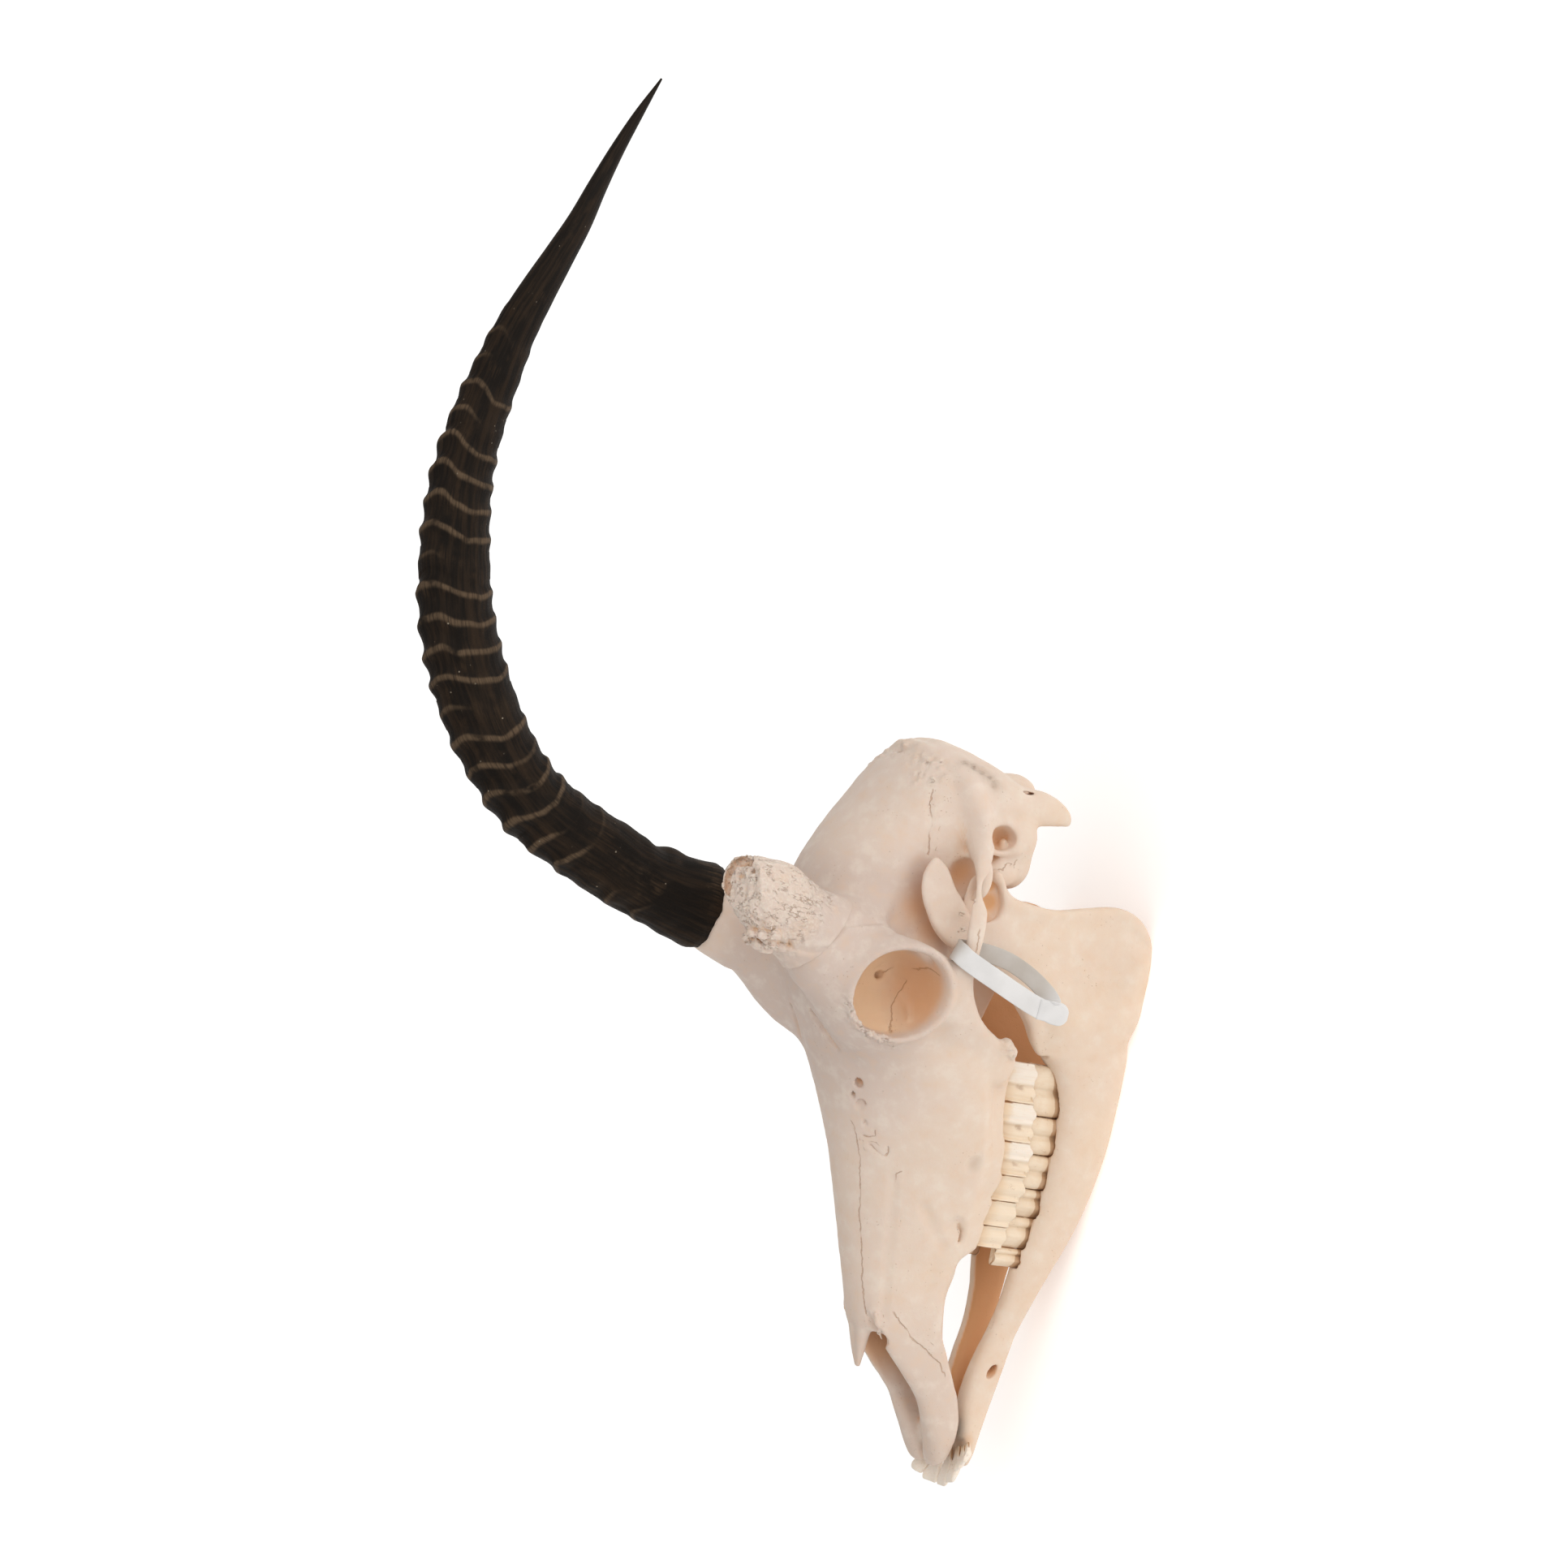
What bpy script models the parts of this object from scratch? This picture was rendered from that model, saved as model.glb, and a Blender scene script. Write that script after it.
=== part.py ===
"""Skull of a sable antelope with its lower jaw, its cheek teeth and incisors, one horn sheath on the
right horn core, a broken left horn core, and a strap seal round the left cheek arch.

Run it with blender --background --python part.py, or from Blender's text editor.
The skull rests on the lower edges of its jaw: +Z is up, -Y is the nose end and +X is the animal's left.
Shapes are worked out in millimetres about the skull's mid-plane (x = 0), the rear corner of the jaw
(y = 0) and the resting plane (z = 0). The last step carries everything to the middle of its own box.
"""

import math

import bmesh
import bpy
import numpy as np
from mathutils import Matrix

# Driving dimensions, in millimetres
MM = 0.001                     # one millimetre in Blender's metres
GAP = 0.4                      # air between two pieces that touch
SOCKET = 8.0                   # depth of the tooth sockets
SKULL_SIDES = 18               # points round the face and braincase
HORN_SIDES = 12                # points round the horn sheath
HORN_RINGS = 24                # raised growth rings on the sheath
SHEATH_SOCKET = 0.24           # part of the sheath's length that is hollow
SHEATH_INNER = 0.82            # its hollow's radius over the outer radius
HORN_DEPTH = 1.0               # fore-and-aft thickness over the width listed below
HORN_BREADTH = 0.84            # side-to-side thickness over the same width
STRAP_HALF = 4.8
STRAP_THICK = 1.2

# Colours, roughness
BONE = ((0.80, 0.68, 0.56), 0.60)
TOOTH = ((0.86, 0.78, 0.62), 0.35)
HORN = ((0.045, 0.032, 0.024), 0.50)
PLASTIC = ((0.80, 0.80, 0.80), 0.40)


# Objects and materials

def clear_scene():
    for item in list(bpy.data.objects):
        bpy.data.objects.remove(item)


def material(name, finish):
    made = bpy.data.materials.new(name)
    made.use_nodes = True
    shader = made.node_tree.nodes["Principled BSDF"]
    shader.inputs["Base Color"].default_value = (*finish[0], 1.0)
    shader.inputs["Roughness"].default_value = finish[1]
    shader.inputs["Metallic"].default_value = 0.0
    return made


def add_object(name, mesh, finish=None):
    item = bpy.data.objects.new(name, mesh)
    bpy.context.scene.collection.objects.link(item)
    if finish:
        mesh.materials.append(material(name, finish))
    else:
        item.hide_render = True
        item.display_type = "WIRE"
    return item


def loft(name, rings, finish=None, closed=False):
    """A solid through rings of points, shaped (rings, points, 3): a flat cap at each end, or a closed loop."""
    rings = np.asarray(rings, float) * MM
    sides = rings.shape[1]
    bm = bmesh.new()
    verts = [[bm.verts.new(p) for p in ring] for ring in rings]
    pairs = list(zip(verts[:-1], verts[1:]))
    if closed:
        pairs.append((verts[-1], verts[0]))
    for lower, upper in pairs:
        for k in range(sides):
            n = (k + 1) % sides
            bm.faces.new((lower[k], lower[n], upper[n], upper[k]))
    if not closed:
        bm.faces.new(verts[0][::-1])
        bm.faces.new(verts[-1])
    bmesh.ops.recalc_face_normals(bm, faces=bm.faces)
    mesh = bpy.data.meshes.new(name)
    bm.to_mesh(mesh)
    bm.free()
    mesh.shade_smooth()
    mesh.set_sharp_from_angle(angle=math.radians(50))
    return add_object(name, mesh, finish)


def box(name, low, high):
    """A cutter with two opposite corners."""
    bm = bmesh.new()
    bmesh.ops.create_cube(bm, size=1.0)
    low, high = np.asarray(low, float) * MM, np.asarray(high, float) * MM
    bmesh.ops.transform(bm, matrix=Matrix.Translation((low + high) / 2) @ Matrix.Diagonal((*(high - low), 1)), verts=bm.verts)
    mesh = bpy.data.meshes.new(name)
    bm.to_mesh(mesh)
    bm.free()
    return add_object(name, mesh)


def combine(target, tools, operation):
    for tool in tools:
        step = target.modifiers.new(tool.name, "BOOLEAN")
        step.operation = operation
        step.solver = "EXACT"
        step.object = tool
    return target


# Rings of points

def turn(sides, start=0.0):
    return start + np.arange(sides) * 2 * math.pi / sides


def signed_power(value, power):
    return np.sign(value) * np.abs(value) ** power


def egg_ring(y, x, low, high, half, widest, upper, lower, sides):
    """A ring across the skull at one y: two half superellipses that meet where it is widest."""
    a = turn(sides, math.pi / sides)
    above = np.sin(a) > 0
    power = np.where(above, 2 / upper, 2 / lower)
    reach = np.where(above, high - widest, widest - low)
    return np.stack([x + half * signed_power(np.cos(a), power), np.full(sides, float(y)),
                     widest + reach * signed_power(np.sin(a), power)], 1)


def oval_ring(centre, side, rise, sides, power=2.0, start=None):
    """A ring about centre, spanned by the two half-axis vectors side and rise."""
    a = turn(sides, math.pi / sides if start is None else start)[:, None]
    return (np.asarray(centre, float) + signed_power(np.cos(a), 2 / power) * np.asarray(side, float)
            + signed_power(np.sin(a), 2 / power) * np.asarray(rise, float))


def along_y(stations, sides=10, power=2.0):
    """Rings that stand across y: each station is (y, x, z, half width, half height)."""
    return [oval_ring((x, y, z), (a, 0, 0), (0, 0, b), sides, power) for y, x, z, a, b in stations]


def leaning(stations, sides=10, power=2.4):
    """Rings that stand across y and lean: each station is (y, x, z, half width, half height, lean of the top)."""
    return [oval_ring((x, y, z), (a, 0, 0), (lean, 0, b), sides, power) for y, x, z, a, b, lean in stations]


def along_z(stations, sides=12, power=2.0):
    """Rings that lie level: each station is (z, x, y, half x, half y)."""
    return [oval_ring((x, y, z), (a, 0, 0), (0, b, 0), sides, power) for z, x, y, a, b in stations]


def along_x(stations, sides=12, power=2.0):
    """Rings that stand across x: each station is (x, y, z, half y, half z)."""
    return [oval_ring((x, y, z), (0, a, 0), (0, 0, b), sides, power) for x, y, z, a, b in stations]


def mirrored(rings):
    return [np.asarray(ring) * (-1, 1, 1) for ring in rings]


def both(name, rings):
    """A left loft and its mirror image."""
    return [loft(name + "_left", rings), loft(name + "_right", mirrored(rings))]


def sampled(table, at, column):
    table = np.asarray(table, float)
    order = np.argsort(table[:, 0])
    return np.interp(at, table[order, 0], table[order, column])


# Cranium
# y, top, bottom, half width, height of the widest point, upper and lower roundness
FACE = (
    (-228, 120.0, 78, 21.0, 94, 2.2, 3.0),
    (-208, 126.0, 76, 25.0, 92, 2.2, 3.2),
    (-189, 132.0, 71, 28.5, 90, 2.2, 3.4),
    (-174, 136.5, 72, 32.5, 88, 2.2, 3.2),
    (-152, 143.0, 72, 40.0, 87, 2.1, 3.0),
    (-132, 149.5, 73, 46.5, 88, 2.0, 3.0),
    (-114, 156.5, 75, 52.0, 91, 2.0, 3.0),
    (-97, 164.0, 79, 56.0, 97, 2.0, 3.0),
    (-81, 172.5, 83, 58.5, 106, 2.0, 3.0),
    (-67, 181.0, 88, 59.0, 119, 2.0, 2.8),
    (-53, 190.0, 97, 56.0, 137, 2.1, 2.4),
    (-37, 197.5, 106, 52.0, 152, 2.2, 2.2),
    (-19, 202.0, 104, 48.0, 155, 2.2, 2.2),
    (1, 203.0, 98, 46.0, 151, 2.1, 2.2),
    (22, 199.0, 93, 46.5, 146, 2.1, 2.2),
    (42, 188.5, 89, 48.5, 136, 2.1, 2.3),
    (60, 176.5, 86, 51.0, 127, 2.1, 2.4),
    (76, 165.5, 86, 52.0, 122, 2.1, 2.4),
    (87, 157.0, 94, 48.0, 122, 2.1, 2.4),
    (95, 149.5, 110, 37.0, 129, 2.2, 2.4),
    (101, 142.0, 127, 20.0, 135, 2.2, 2.4),
)
# y, x, z, half width, half height, how far the top leans to the right
PREMAXILLA = (
    (-192, 19.0, 98.0, 5.0, 18.0, -5.0),
    (-212, 19.5, 98.5, 4.6, 20.5, -5.0),
    (-222, 19.6, 97.0, 4.4, 20.5, -4.5),
    (-235, 19.6, 88.0, 4.2, 18.0, -2.8),
    (-247, 19.4, 78.8, 4.4, 15.8, -1.2),
    (-261, 17.6, 68.0, 5.6, 13.0, -0.4),
    (-275, 15.0, 62.0, 7.4, 11.0, 0.0),
    (-287, 12.0, 59.5, 8.6, 7.6, 0.0),
    (-295, 9.4, 58.5, 7.4, 4.6, 0.0),
    (-299, 8.0, 58.5, 4.2, 2.4, 0.0),
)
# y, x, z, half width, half height
PALATE = ((-180, 0, 78, 24, 5), (-206, 0, 77, 21, 3.6), (-233, 0, 71, 18, 3), (-257, 0, 61, 15, 3), (-276, 0, 57, 11, 2.8))
NASAL_TIP = ((-215, 0, 114, 13.4, 8), (-228, 0, 113.6, 11.5, 5.6), (-240, 0, 112.6, 7.5, 3.2), (-249.5, 0, 111.5, 2.6, 1.4))
ARCH = (
    (-80, 49.0, 100.0, 8.0, 20.0),
    (-63, 54.0, 106.0, 8.0, 26.0),
    (-47, 62.5, 123.5, 7.5, 15.0),
    (-33, 67.5, 130.0, 6.0, 10.0),
    (-19, 71.0, 131.2, 4.4, 7.0),
    (-9, 71.5, 128.2, 3.2, 4.4),
    (1, 71.6, 128.4, 3.0, 6.1),
    (12, 71.0, 129.5, 3.2, 7.4),
    (22, 69.0, 129.4, 3.4, 6.0),
    (31, 65.5, 127.3, 4.2, 4.6),
    (42, 59.0, 125.0, 7.0, 6.5),
    (54, 52.5, 124.0, 8.0, 9.0),
    (68, 49.0, 127.0, 7.0, 10.0),
    (82, 46.0, 132.0, 5.0, 8.0),
)
GLENOID = ((40, 33, 125, 17, 10), (52, 31, 121.5, 14, 8), (62, 30, 122.5, 9, 6))
ALVEOLUS = (
    (-61, 38.0, 85.6, 9.0, 9.6),
    (-72, 37.5, 84.5, 11.4, 10.6),
    (-90, 36.6, 83.0, 11.6, 10.0),
    (-111, 34.4, 78.0, 11.2, 10.8),
    (-130, 31.8, 74.0, 10.4, 11.0),
    (-145, 29.0, 74.5, 9.6, 10.2),
    (-160, 26.8, 75.6, 8.6, 10.4),
    (-173.5, 25.2, 77.2, 7.6, 9.8),
    (-181, 24.4, 82.5, 6.0, 6.0),
    (-194, 23.0, 85.0, 4.0, 4.0),
)
# z, x, y, half x, half y
PEDICLE = (
    (172, 35.0, -26.0, 26.0, 32.0),
    (192, 37.0, -24.0, 24.0, 31.5),
    (208, 39.5, -18.0, 22.0, 27.5),
    (219, 41.3, -11.5, 20.0, 25.4),
)
STUMP = (
    (231, 42.6, -3.5, 19.6, 23.6),
    (244, 43.8, 0.0, 17.4, 21.4),
    (253, 44.6, 3.0, 15.6, 18.4),
    (261, 45.2, 6.5, 12.6, 14.0),
    (267, 45.4, 9.5, 8.0, 8.0),
)
# Left orbit: rim centre, and how far the rim plane leans with y and z
ORBIT = (67.0, -38.0, 163.6)
ORBIT_LEAN = (0.27, -0.22)
ORBIT_RIM = (24.0, 25.0)       # half opening along y and z
ORBIT_WALL = 4.0


def face_ring(row):
    y, high, low, half, widest, upper, lower = row
    return egg_ring(y, 0, low, high, half, widest, upper, lower, SKULL_SIDES)


def orbit_ring(out, dy, dz, half_y, half_z, sides=12):
    """A ring parallel to the rim's plane, out millimetres to the side of it."""
    y, z = ORBIT[1] + dy, ORBIT[2] + dz
    lean_y, lean_z = ORBIT_LEAN
    x = ORBIT[0] + out + lean_y * dy + lean_z * dz
    return oval_ring((x, y, z), (half_y * lean_y, half_y, 0), (half_z * lean_z, 0, half_z), sides, 2.1)


def orbit_cup():
    ry, rz = ORBIT_RIM
    return [orbit_ring(-36, -2, -12, ry + 9, rz + 12), orbit_ring(-16, -2, -3, ry + 10, rz + 12),
            orbit_ring(-4, 0, 0, ry + ORBIT_WALL + 1.5, rz + ORBIT_WALL + 1.5),
            orbit_ring(0, 0, 0, ry + ORBIT_WALL - 1, rz + ORBIT_WALL - 1)]


def orbit_hollow():
    ry, rz = ORBIT_RIM
    return [orbit_ring(8, 0, 0, ry + 2, rz + 2), orbit_ring(-1.5, 0, 0, ry, rz), orbit_ring(-16, 2, -1, ry - 1, rz - 2),
            orbit_ring(-34, 6, -4, ry - 7, rz - 9), orbit_ring(-46, 9, -6, 6, 7)]


def ball(centre, radii, sides=10, rows=6):
    """Level rings of an ellipsoid, flat at the poles."""
    lat = np.linspace(-0.45, 0.45, rows) * math.pi
    return along_z([(centre[2] + radii[2] * math.sin(t), centre[0], centre[1],
                     radii[0] * math.cos(t), radii[1] * math.cos(t)) for t in lat], sides)


def cranium():
    skull = loft("cranium", [face_ring(row) for row in FACE], BONE)
    added = []
    added += both("premaxilla", leaning(PREMAXILLA, 8))
    added.append(loft("palate", along_y(PALATE, 10, 3)))
    added.append(loft("nasal_tip", along_y(NASAL_TIP, 10, 2)))
    added += both("alveolus", along_y(ALVEOLUS, 8, 3))
    added += both("orbit_cup", orbit_cup())
    added += both("arch", along_y(ARCH, 8, 2.4))
    added += both("glenoid", along_x(GLENOID, 10, 2.4))
    added.append(loft("left_core", along_z(PEDICLE + STUMP, 12)))
    added.append(loft("right_core", core_rings()))
    added += both("bulla", ball((37, 42, 94), (12, 16, 14)))
    added += both("paroccipital", along_z(((108, 42, 80, 10, 9), (91, 44, 77, 7, 9), (79, 45, 73.5, 4.5, 7.5),
                                           (70, 45, 70, 3, 4.5), (65, 45, 69, 1.6, 2)), 10))
    added += both("occipital_condyle", ball((21, 84, 94), (13.5, 9, 13)))
    combine(skull, added, "UNION")
    cut = []
    cut += both("orbit_hollow", orbit_hollow())
    cut.append(loft("nose", along_y(((-300, 0, 90, 14.5, 24), (-250, 0, 90, 15, 17), (-228, 0, 93, 14.5, 16),
                                     (-205, 0, 98, 16, 17), (-178, 0, 100, 15, 15), (-160, 0, 101, 8, 8)), 12, 2.6)))
    cut.append(loft("slit", along_y(((-310, 0, 58, 2.0, 20), (-264, 0, 60, 2.0, 20)), 8, 3)))
    cut.append(loft("throat", along_y(((-64, 0, 84, 14, 12), (-42, 0, 93, 15, 20), (-10, 0, 86, 16, 17), (14, 0, 76, 18, 17)), 10, 2.4)))
    cut.append(loft("foramen_magnum", along_y(((120, 0, 109, 13, 10), (84, 0, 109, 12, 9.5), (64, 0, 110, 9, 8)), 12)))
    cut += both("ear_hole", along_x(((66, 55, 111, 8.5, 6.5), (50, 54, 111, 7.5, 6), (38, 53, 111, 4, 3)), 10))
    cut += both("upper_socket", socket_rings(UPPER_ROW, UPPER_GUM, 1))
    combine(skull, cut, "DIFFERENCE")
    return skull


# Lower jaw
# y, middle x, bottom, top, half thickness
JAW = (
    (-12, 46.5, 1.0, 36.8, 4.0),
    (-28, 45.0, 3.4, 53.3, 6.2),
    (-44, 42.5, 2.2, 60.9, 8.4),
    (-58, 40.0, -0.7, 56.0, 10.0),
    (-70, 38.6, -0.9, 45.0, 10.8),
    (-87, 36.8, -0.9, 37.5, 11.0),
    (-109, 34.2, -0.7, 34.6, 10.6),
    (-130, 31.2, 1.4, 34.1, 9.8),
    (-150, 28.0, 4.6, 33.6, 8.8),
    (-168, 24.6, 9.0, 35.9, 7.8),
    (-183, 21.5, 13.6, 37.4, 7.0),
    (-200, 17.4, 18.4, 37.6, 6.4),
    (-218, 13.8, 22.8, 40.4, 6.2),
    (-238, 11.2, 26.0, 45.4, 6.6),
    (-258, 9.8, 29.6, 48.4, 7.6),
    (-274, 9.9, 34.0, 48.0, 9.2),
    (-288, 10.4, 37.8, 46.9, 10.2),
    (-296.5, 10.2, 40.4, 46.0, 9.6),
)
# z, middle x, front y, rear y, half thickness
RAMUS = (
    (-0.7, 46.8, -23, 1.0, 3.0),
    (4.8, 47.6, -33, 15.5, 3.6),
    (14, 48.2, -44, 23.6, 3.8),
    (26, 48.2, -50, 26.4, 3.8),
    (37, 48.0, -54, 25.6, 4.0),
    (51.5, 47.8, -57, 22.2, 4.4),
    (60.6, 48.4, -54.4, 20.6, 4.4),
    (70, 49.2, -46.4, 19.8, 4.2),
    (81, 50.4, -36.4, 20.2, 4.0),
    (91, 51.6, -27.5, 21.1, 4.2),
    (99, 52.8, -21.5, 22.3, 4.4),
    (104.3, 53.4, -18.5, 22.7, 4.0),
)
# y, z, half length across the blade, lean of the blade's run from the vertical in degrees, half thickness
CORONOID = (
    (-3.4, 95.0, 14.0, 0, 3.6),
    (-2.9, 108, 12.0, -6, 3.4),
    (-1.5, 121, 11.5, -12, 3.2),
    (3.0, 131, 11.6, -32, 3.0),
    (11.0, 139.4, 10.6, -48, 2.8),
    (20.6, 145.5, 9.2, -64, 2.6),
    (29.7, 148.2, 6.4, -76, 2.2),
    (36.2, 148.3, 2.6, -84, 1.6),
)
CONDYLE = ((45.5, 19.2, 104.8, 3.4, 4.1), (49, 20.2, 104.1, 6.2, 6.5), (55, 20.7, 103.6, 6.8, 7.1), (61, 20.2, 103, 6, 6.1),
           (65, 19.7, 102.5, 3.4, 3.7))


def jaw_ring(row):
    y, x, low, high, half = row
    return egg_ring(y, x, low, high, half, low + 0.5 * (high - low), 2.6, 2.7, 12)


def ramus_ring(row):
    z, x, front, rear, half = row
    return oval_ring((x, (front + rear) / 2, z), (half, 0, 0), (0, (rear - front) / 2, 0), 12, 3.0)


def coronoid_rings():
    rings = []
    for y, z, across, lean, half in CORONOID:
        c, s = math.cos(math.radians(lean)), math.sin(math.radians(lean))
        rings.append(oval_ring((54, y, z), (half, 0, 0), (0, across * c, across * s), 8, 2.2))
    return rings


def jaw_half(name, side):
    """One half of the lower jaw. The symphysis, where the halves meet, is flat, and so is the resting edge."""
    flip = (lambda rings: rings) if side > 0 else mirrored
    half = loft(name, flip([jaw_ring(row) for row in JAW]), BONE)
    added = [loft(name + "_ramus", flip([ramus_ring(row) for row in RAMUS])),
             loft(name + "_coronoid", flip(coronoid_rings())),
             loft(name + "_condyle", flip(along_x(CONDYLE, 10)))]
    combine(half, added, "UNION")
    cut = [loft(name + "_socket", flip(socket_rings(LOWER_ROW, LOWER_GUM, -1))),
           loft(name + "_mental_foramen", flip(along_x(((28, -241, 35, 5, 3.4), (12.5, -238, 34.5, 3.6, 2.4)), 8))),
           loft(name + "_incisor_slot", flip(along_y(((-277.5, 12, 46.9, 12.6, 2.9), (-310, 12.5, 46.9, 17, 3.2)), 10, 3.5))),
           box(name + "_rest_plane", (-80, -160, -20), (80, 60, 0))]
    across = sorted((-side * 60, side * GAP / 2))
    cut.append(box(name + "_symphysis", (across[0], -340, -20), (across[1], -150, 80)))
    return combine(half, cut, "DIFFERENCE")


# Teeth
# y, outer x, width of the tooth row
UPPER_ROW = ((-60, 45.6, 14.5), (-90, 45.2, 15.5), (-111, 43.0, 15.0), (-130, 39.8, 13.5), (-145, 36.2, 12.0), (-160, 32.8, 10.5), (-172, 30.8, 9.5))
LOWER_ROW = ((-62, 41.2, 9.5), (-87, 39.6, 10.0), (-109, 37.4, 9.8), (-130, 34.2, 9.0), (-150, 30.6, 8.2), (-170, 27.0, 7.2), (-184, 24.8, 6.5))
# y, height
UPPER_GUM = ((-60, 74.8), (-90, 74), (-111, 67.8), (-130, 63.6), (-145, 65), (-160, 65.7), (-173, 66.4))
LOWER_GUM = ((-62, 48.6), (-72, 43.2), (-87, 38.3), (-109, 35.3), (-117, 33.8), (-135, 35.3), (-151, 34.3), (-170, 36.5), (-184, 39.5))
BITE = ((-60, 59.4), (-87, 54.3), (-109, 50.4), (-129, 47.7), (-143, 47.5), (-159, 49.4), (-176, 51.5))
# name, rear y, front y
UPPER_TEETH = (("molar_3", -66.4, -88.6), ("molar_2", -89.0, -110.5), ("molar_1", -110.9, -129.6),
               ("premolar_4", -130.0, -144.5), ("premolar_3", -144.9, -159.2), ("premolar_2", -159.6, -171.6))
LOWER_TEETH = (("molar_3", -66.6, -95.2), ("molar_2", -95.6, -116.7), ("molar_1", -117.1, -136.2),
               ("premolar_4", -136.6, -152.6), ("premolar_3", -153.0, -170.8), ("premolar_2", -171.2, -182.0))
# Outline of a tooth seen from its biting face: along the row, and from the inner to the outer side
TWO_LOBES = ((-1, 0.72), (-0.5, 1.0), (0, 0.84), (0.5, 1.0), (1, 0.72), (1, 0.26), (0.5, 0.0), (0, 0.14), (-0.5, 0.0), (-1, 0.26))
ONE_LOBE = ((-1, 0.62), (-0.6, 0.92), (0, 1.0), (0.6, 0.92), (1, 0.62), (1, 0.32), (0.6, 0.06), (0, 0.0), (-0.6, 0.06), (-1, 0.32))
# x, fan angle in degrees, half width of the crown, for the four incisors of one side
INCISORS = ((5.4, 4, 5.2), (14.0, 16, 3.7), (19.6, 28, 3.0), (24.0, 40, 2.5))


def socket_rings(row, gum, up):
    """The trough that a side's tooth roots stand in. It opens away from the bone."""
    rings = []
    ends = np.array([row[0][0] - (2.0 if up > 0 else 2.6), -75, -87, -98, -109, -120, -130, -140, -150, -160,
                     -171.6 - GAP if up > 0 else -171])
    if up < 0:
        ends = np.append(ends, -182.0 - GAP)
    ends[0] = (UPPER_TEETH if up > 0 else LOWER_TEETH)[0][1] + GAP
    for y in ends:
        outer, width = sampled(row, y, 1), sampled(row, y, 2)
        floor = sampled(gum, y, 1) + up * SOCKET
        mouth = floor - up * 34
        half = width / 2 + GAP
        x = outer - width / 2
        rings.append([(x - half, y, floor), (x + half, y, floor), (x + half, y, mouth), (x - half, y, mouth)])
    return rings


def cheek_tooth(name, row, gum, rear, front, outline, up, side):
    """Three rings: the foot of the socket, the gum line and the biting face, a little smaller."""
    along = np.array(outline)
    y = (rear + front) / 2 + along[:, 0] * (front - rear) / 2
    outer, width = sampled(row, y, 1), sampled(row, y, 2)
    foot = sampled(gum, (rear + front) / 2, 1) + up * (SOCKET - GAP)
    foot = (min if up > 0 else max)(foot, *(sampled(gum, y, 1) + up * (SOCKET - GAP)))
    bite = sampled(BITE, y, 1) + up * GAP
    rings = []
    for z, spread in ((foot, 0.90), (sampled(gum, y, 1) + up, 0.97), (bite, 0.94)):
        x = outer - width / 2 + (along[:, 1] - 0.5) * width * spread
        rings.append(np.stack([x * side, (rear + front) / 2 + (y - (rear + front) / 2) * (0.5 + spread / 2),
                               np.broadcast_to(z, y.shape)], 1))
    return loft(name, rings, TOOTH)


def incisor(name, x, fan, half, side):
    """A spade-shaped tooth that lies forward in the tip of the jaw."""
    c, s = math.cos(math.radians(fan)), math.sin(math.radians(fan))
    rings = []
    for out, wide, thick, z in ((-7, 0.42, 1.5, 46.4), (0, 0.62, 1.9, 46.4), (7, 0.97, 2.2, 46.9), (14, 0.92, 0.8, 48.2)):
        y = -296.5 - out * c + 11 * (x / 24) ** 2
        rings.append(oval_ring(((x + out * s * 0.6) * side, y, z), (half * wide * c * side, half * wide * s, 0), (0, 0, thick), 8, 2.4))
    return loft(name, rings, TOOTH)


def teeth():
    for side, word in ((1, "left"), (-1, "right")):
        for label, rear, front in UPPER_TEETH:
            outline = TWO_LOBES if label.startswith("molar") else ONE_LOBE
            cheek_tooth(f"{word}_upper_{label}", UPPER_ROW, UPPER_GUM, rear, front, outline, 1, side)
        for label, rear, front in LOWER_TEETH:
            outline = TWO_LOBES if label.startswith("molar") else ONE_LOBE
            cheek_tooth(f"{word}_lower_{label}", LOWER_ROW, LOWER_GUM, rear, front, outline, -1, side)
        for number, (x, fan, half) in enumerate(INCISORS, 1):
            incisor(f"{word}_incisor_{number}", x, fan, half, side)


# Horn
# x, y, z and width of the right horn at even steps from its base to its tip
HORN_LINE = (
    (-42.0, -12.3, 232.3, 48.6), (-43.8, -7.6, 257.0, 44.6), (-45.7, -0.5, 280.3, 41.8), (-47.5, 9.0, 302.6, 41.2),
    (-49.3, 18.3, 324.6, 41.2), (-51.2, 29.9, 344.8, 41.4), (-53.0, 45.7, 361.6, 41.6), (-54.8, 63.6, 375.8, 42.6),
    (-56.7, 83.0, 387.4, 42.8), (-58.5, 103.2, 397.0, 42.6), (-60.3, 124.3, 404.1, 41.2), (-62.2, 146.2, 408.2, 39.2),
    (-64.0, 168.3, 410.6, 37.2), (-65.7, 190.4, 411.4, 34.8), (-67.3, 212.5, 409.4, 32.0), (-69.0, 234.6, 405.0, 29.6),
    (-70.7, 256.8, 399.1, 26.8), (-72.3, 279.0, 392.4, 23.6), (-74.0, 300.6, 383.4, 20.4), (-75.4, 322.1, 373.8, 17.2),
    (-76.8, 343.7, 364.4, 14.2), (-78.2, 365.9, 356.6, 11.0), (-79.2, 388.0, 348.3, 8.2), (-79.6, 409.8, 339.2, 5.4),
    (-80.0, 431.3, 329.3, 1.2),
)


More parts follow.
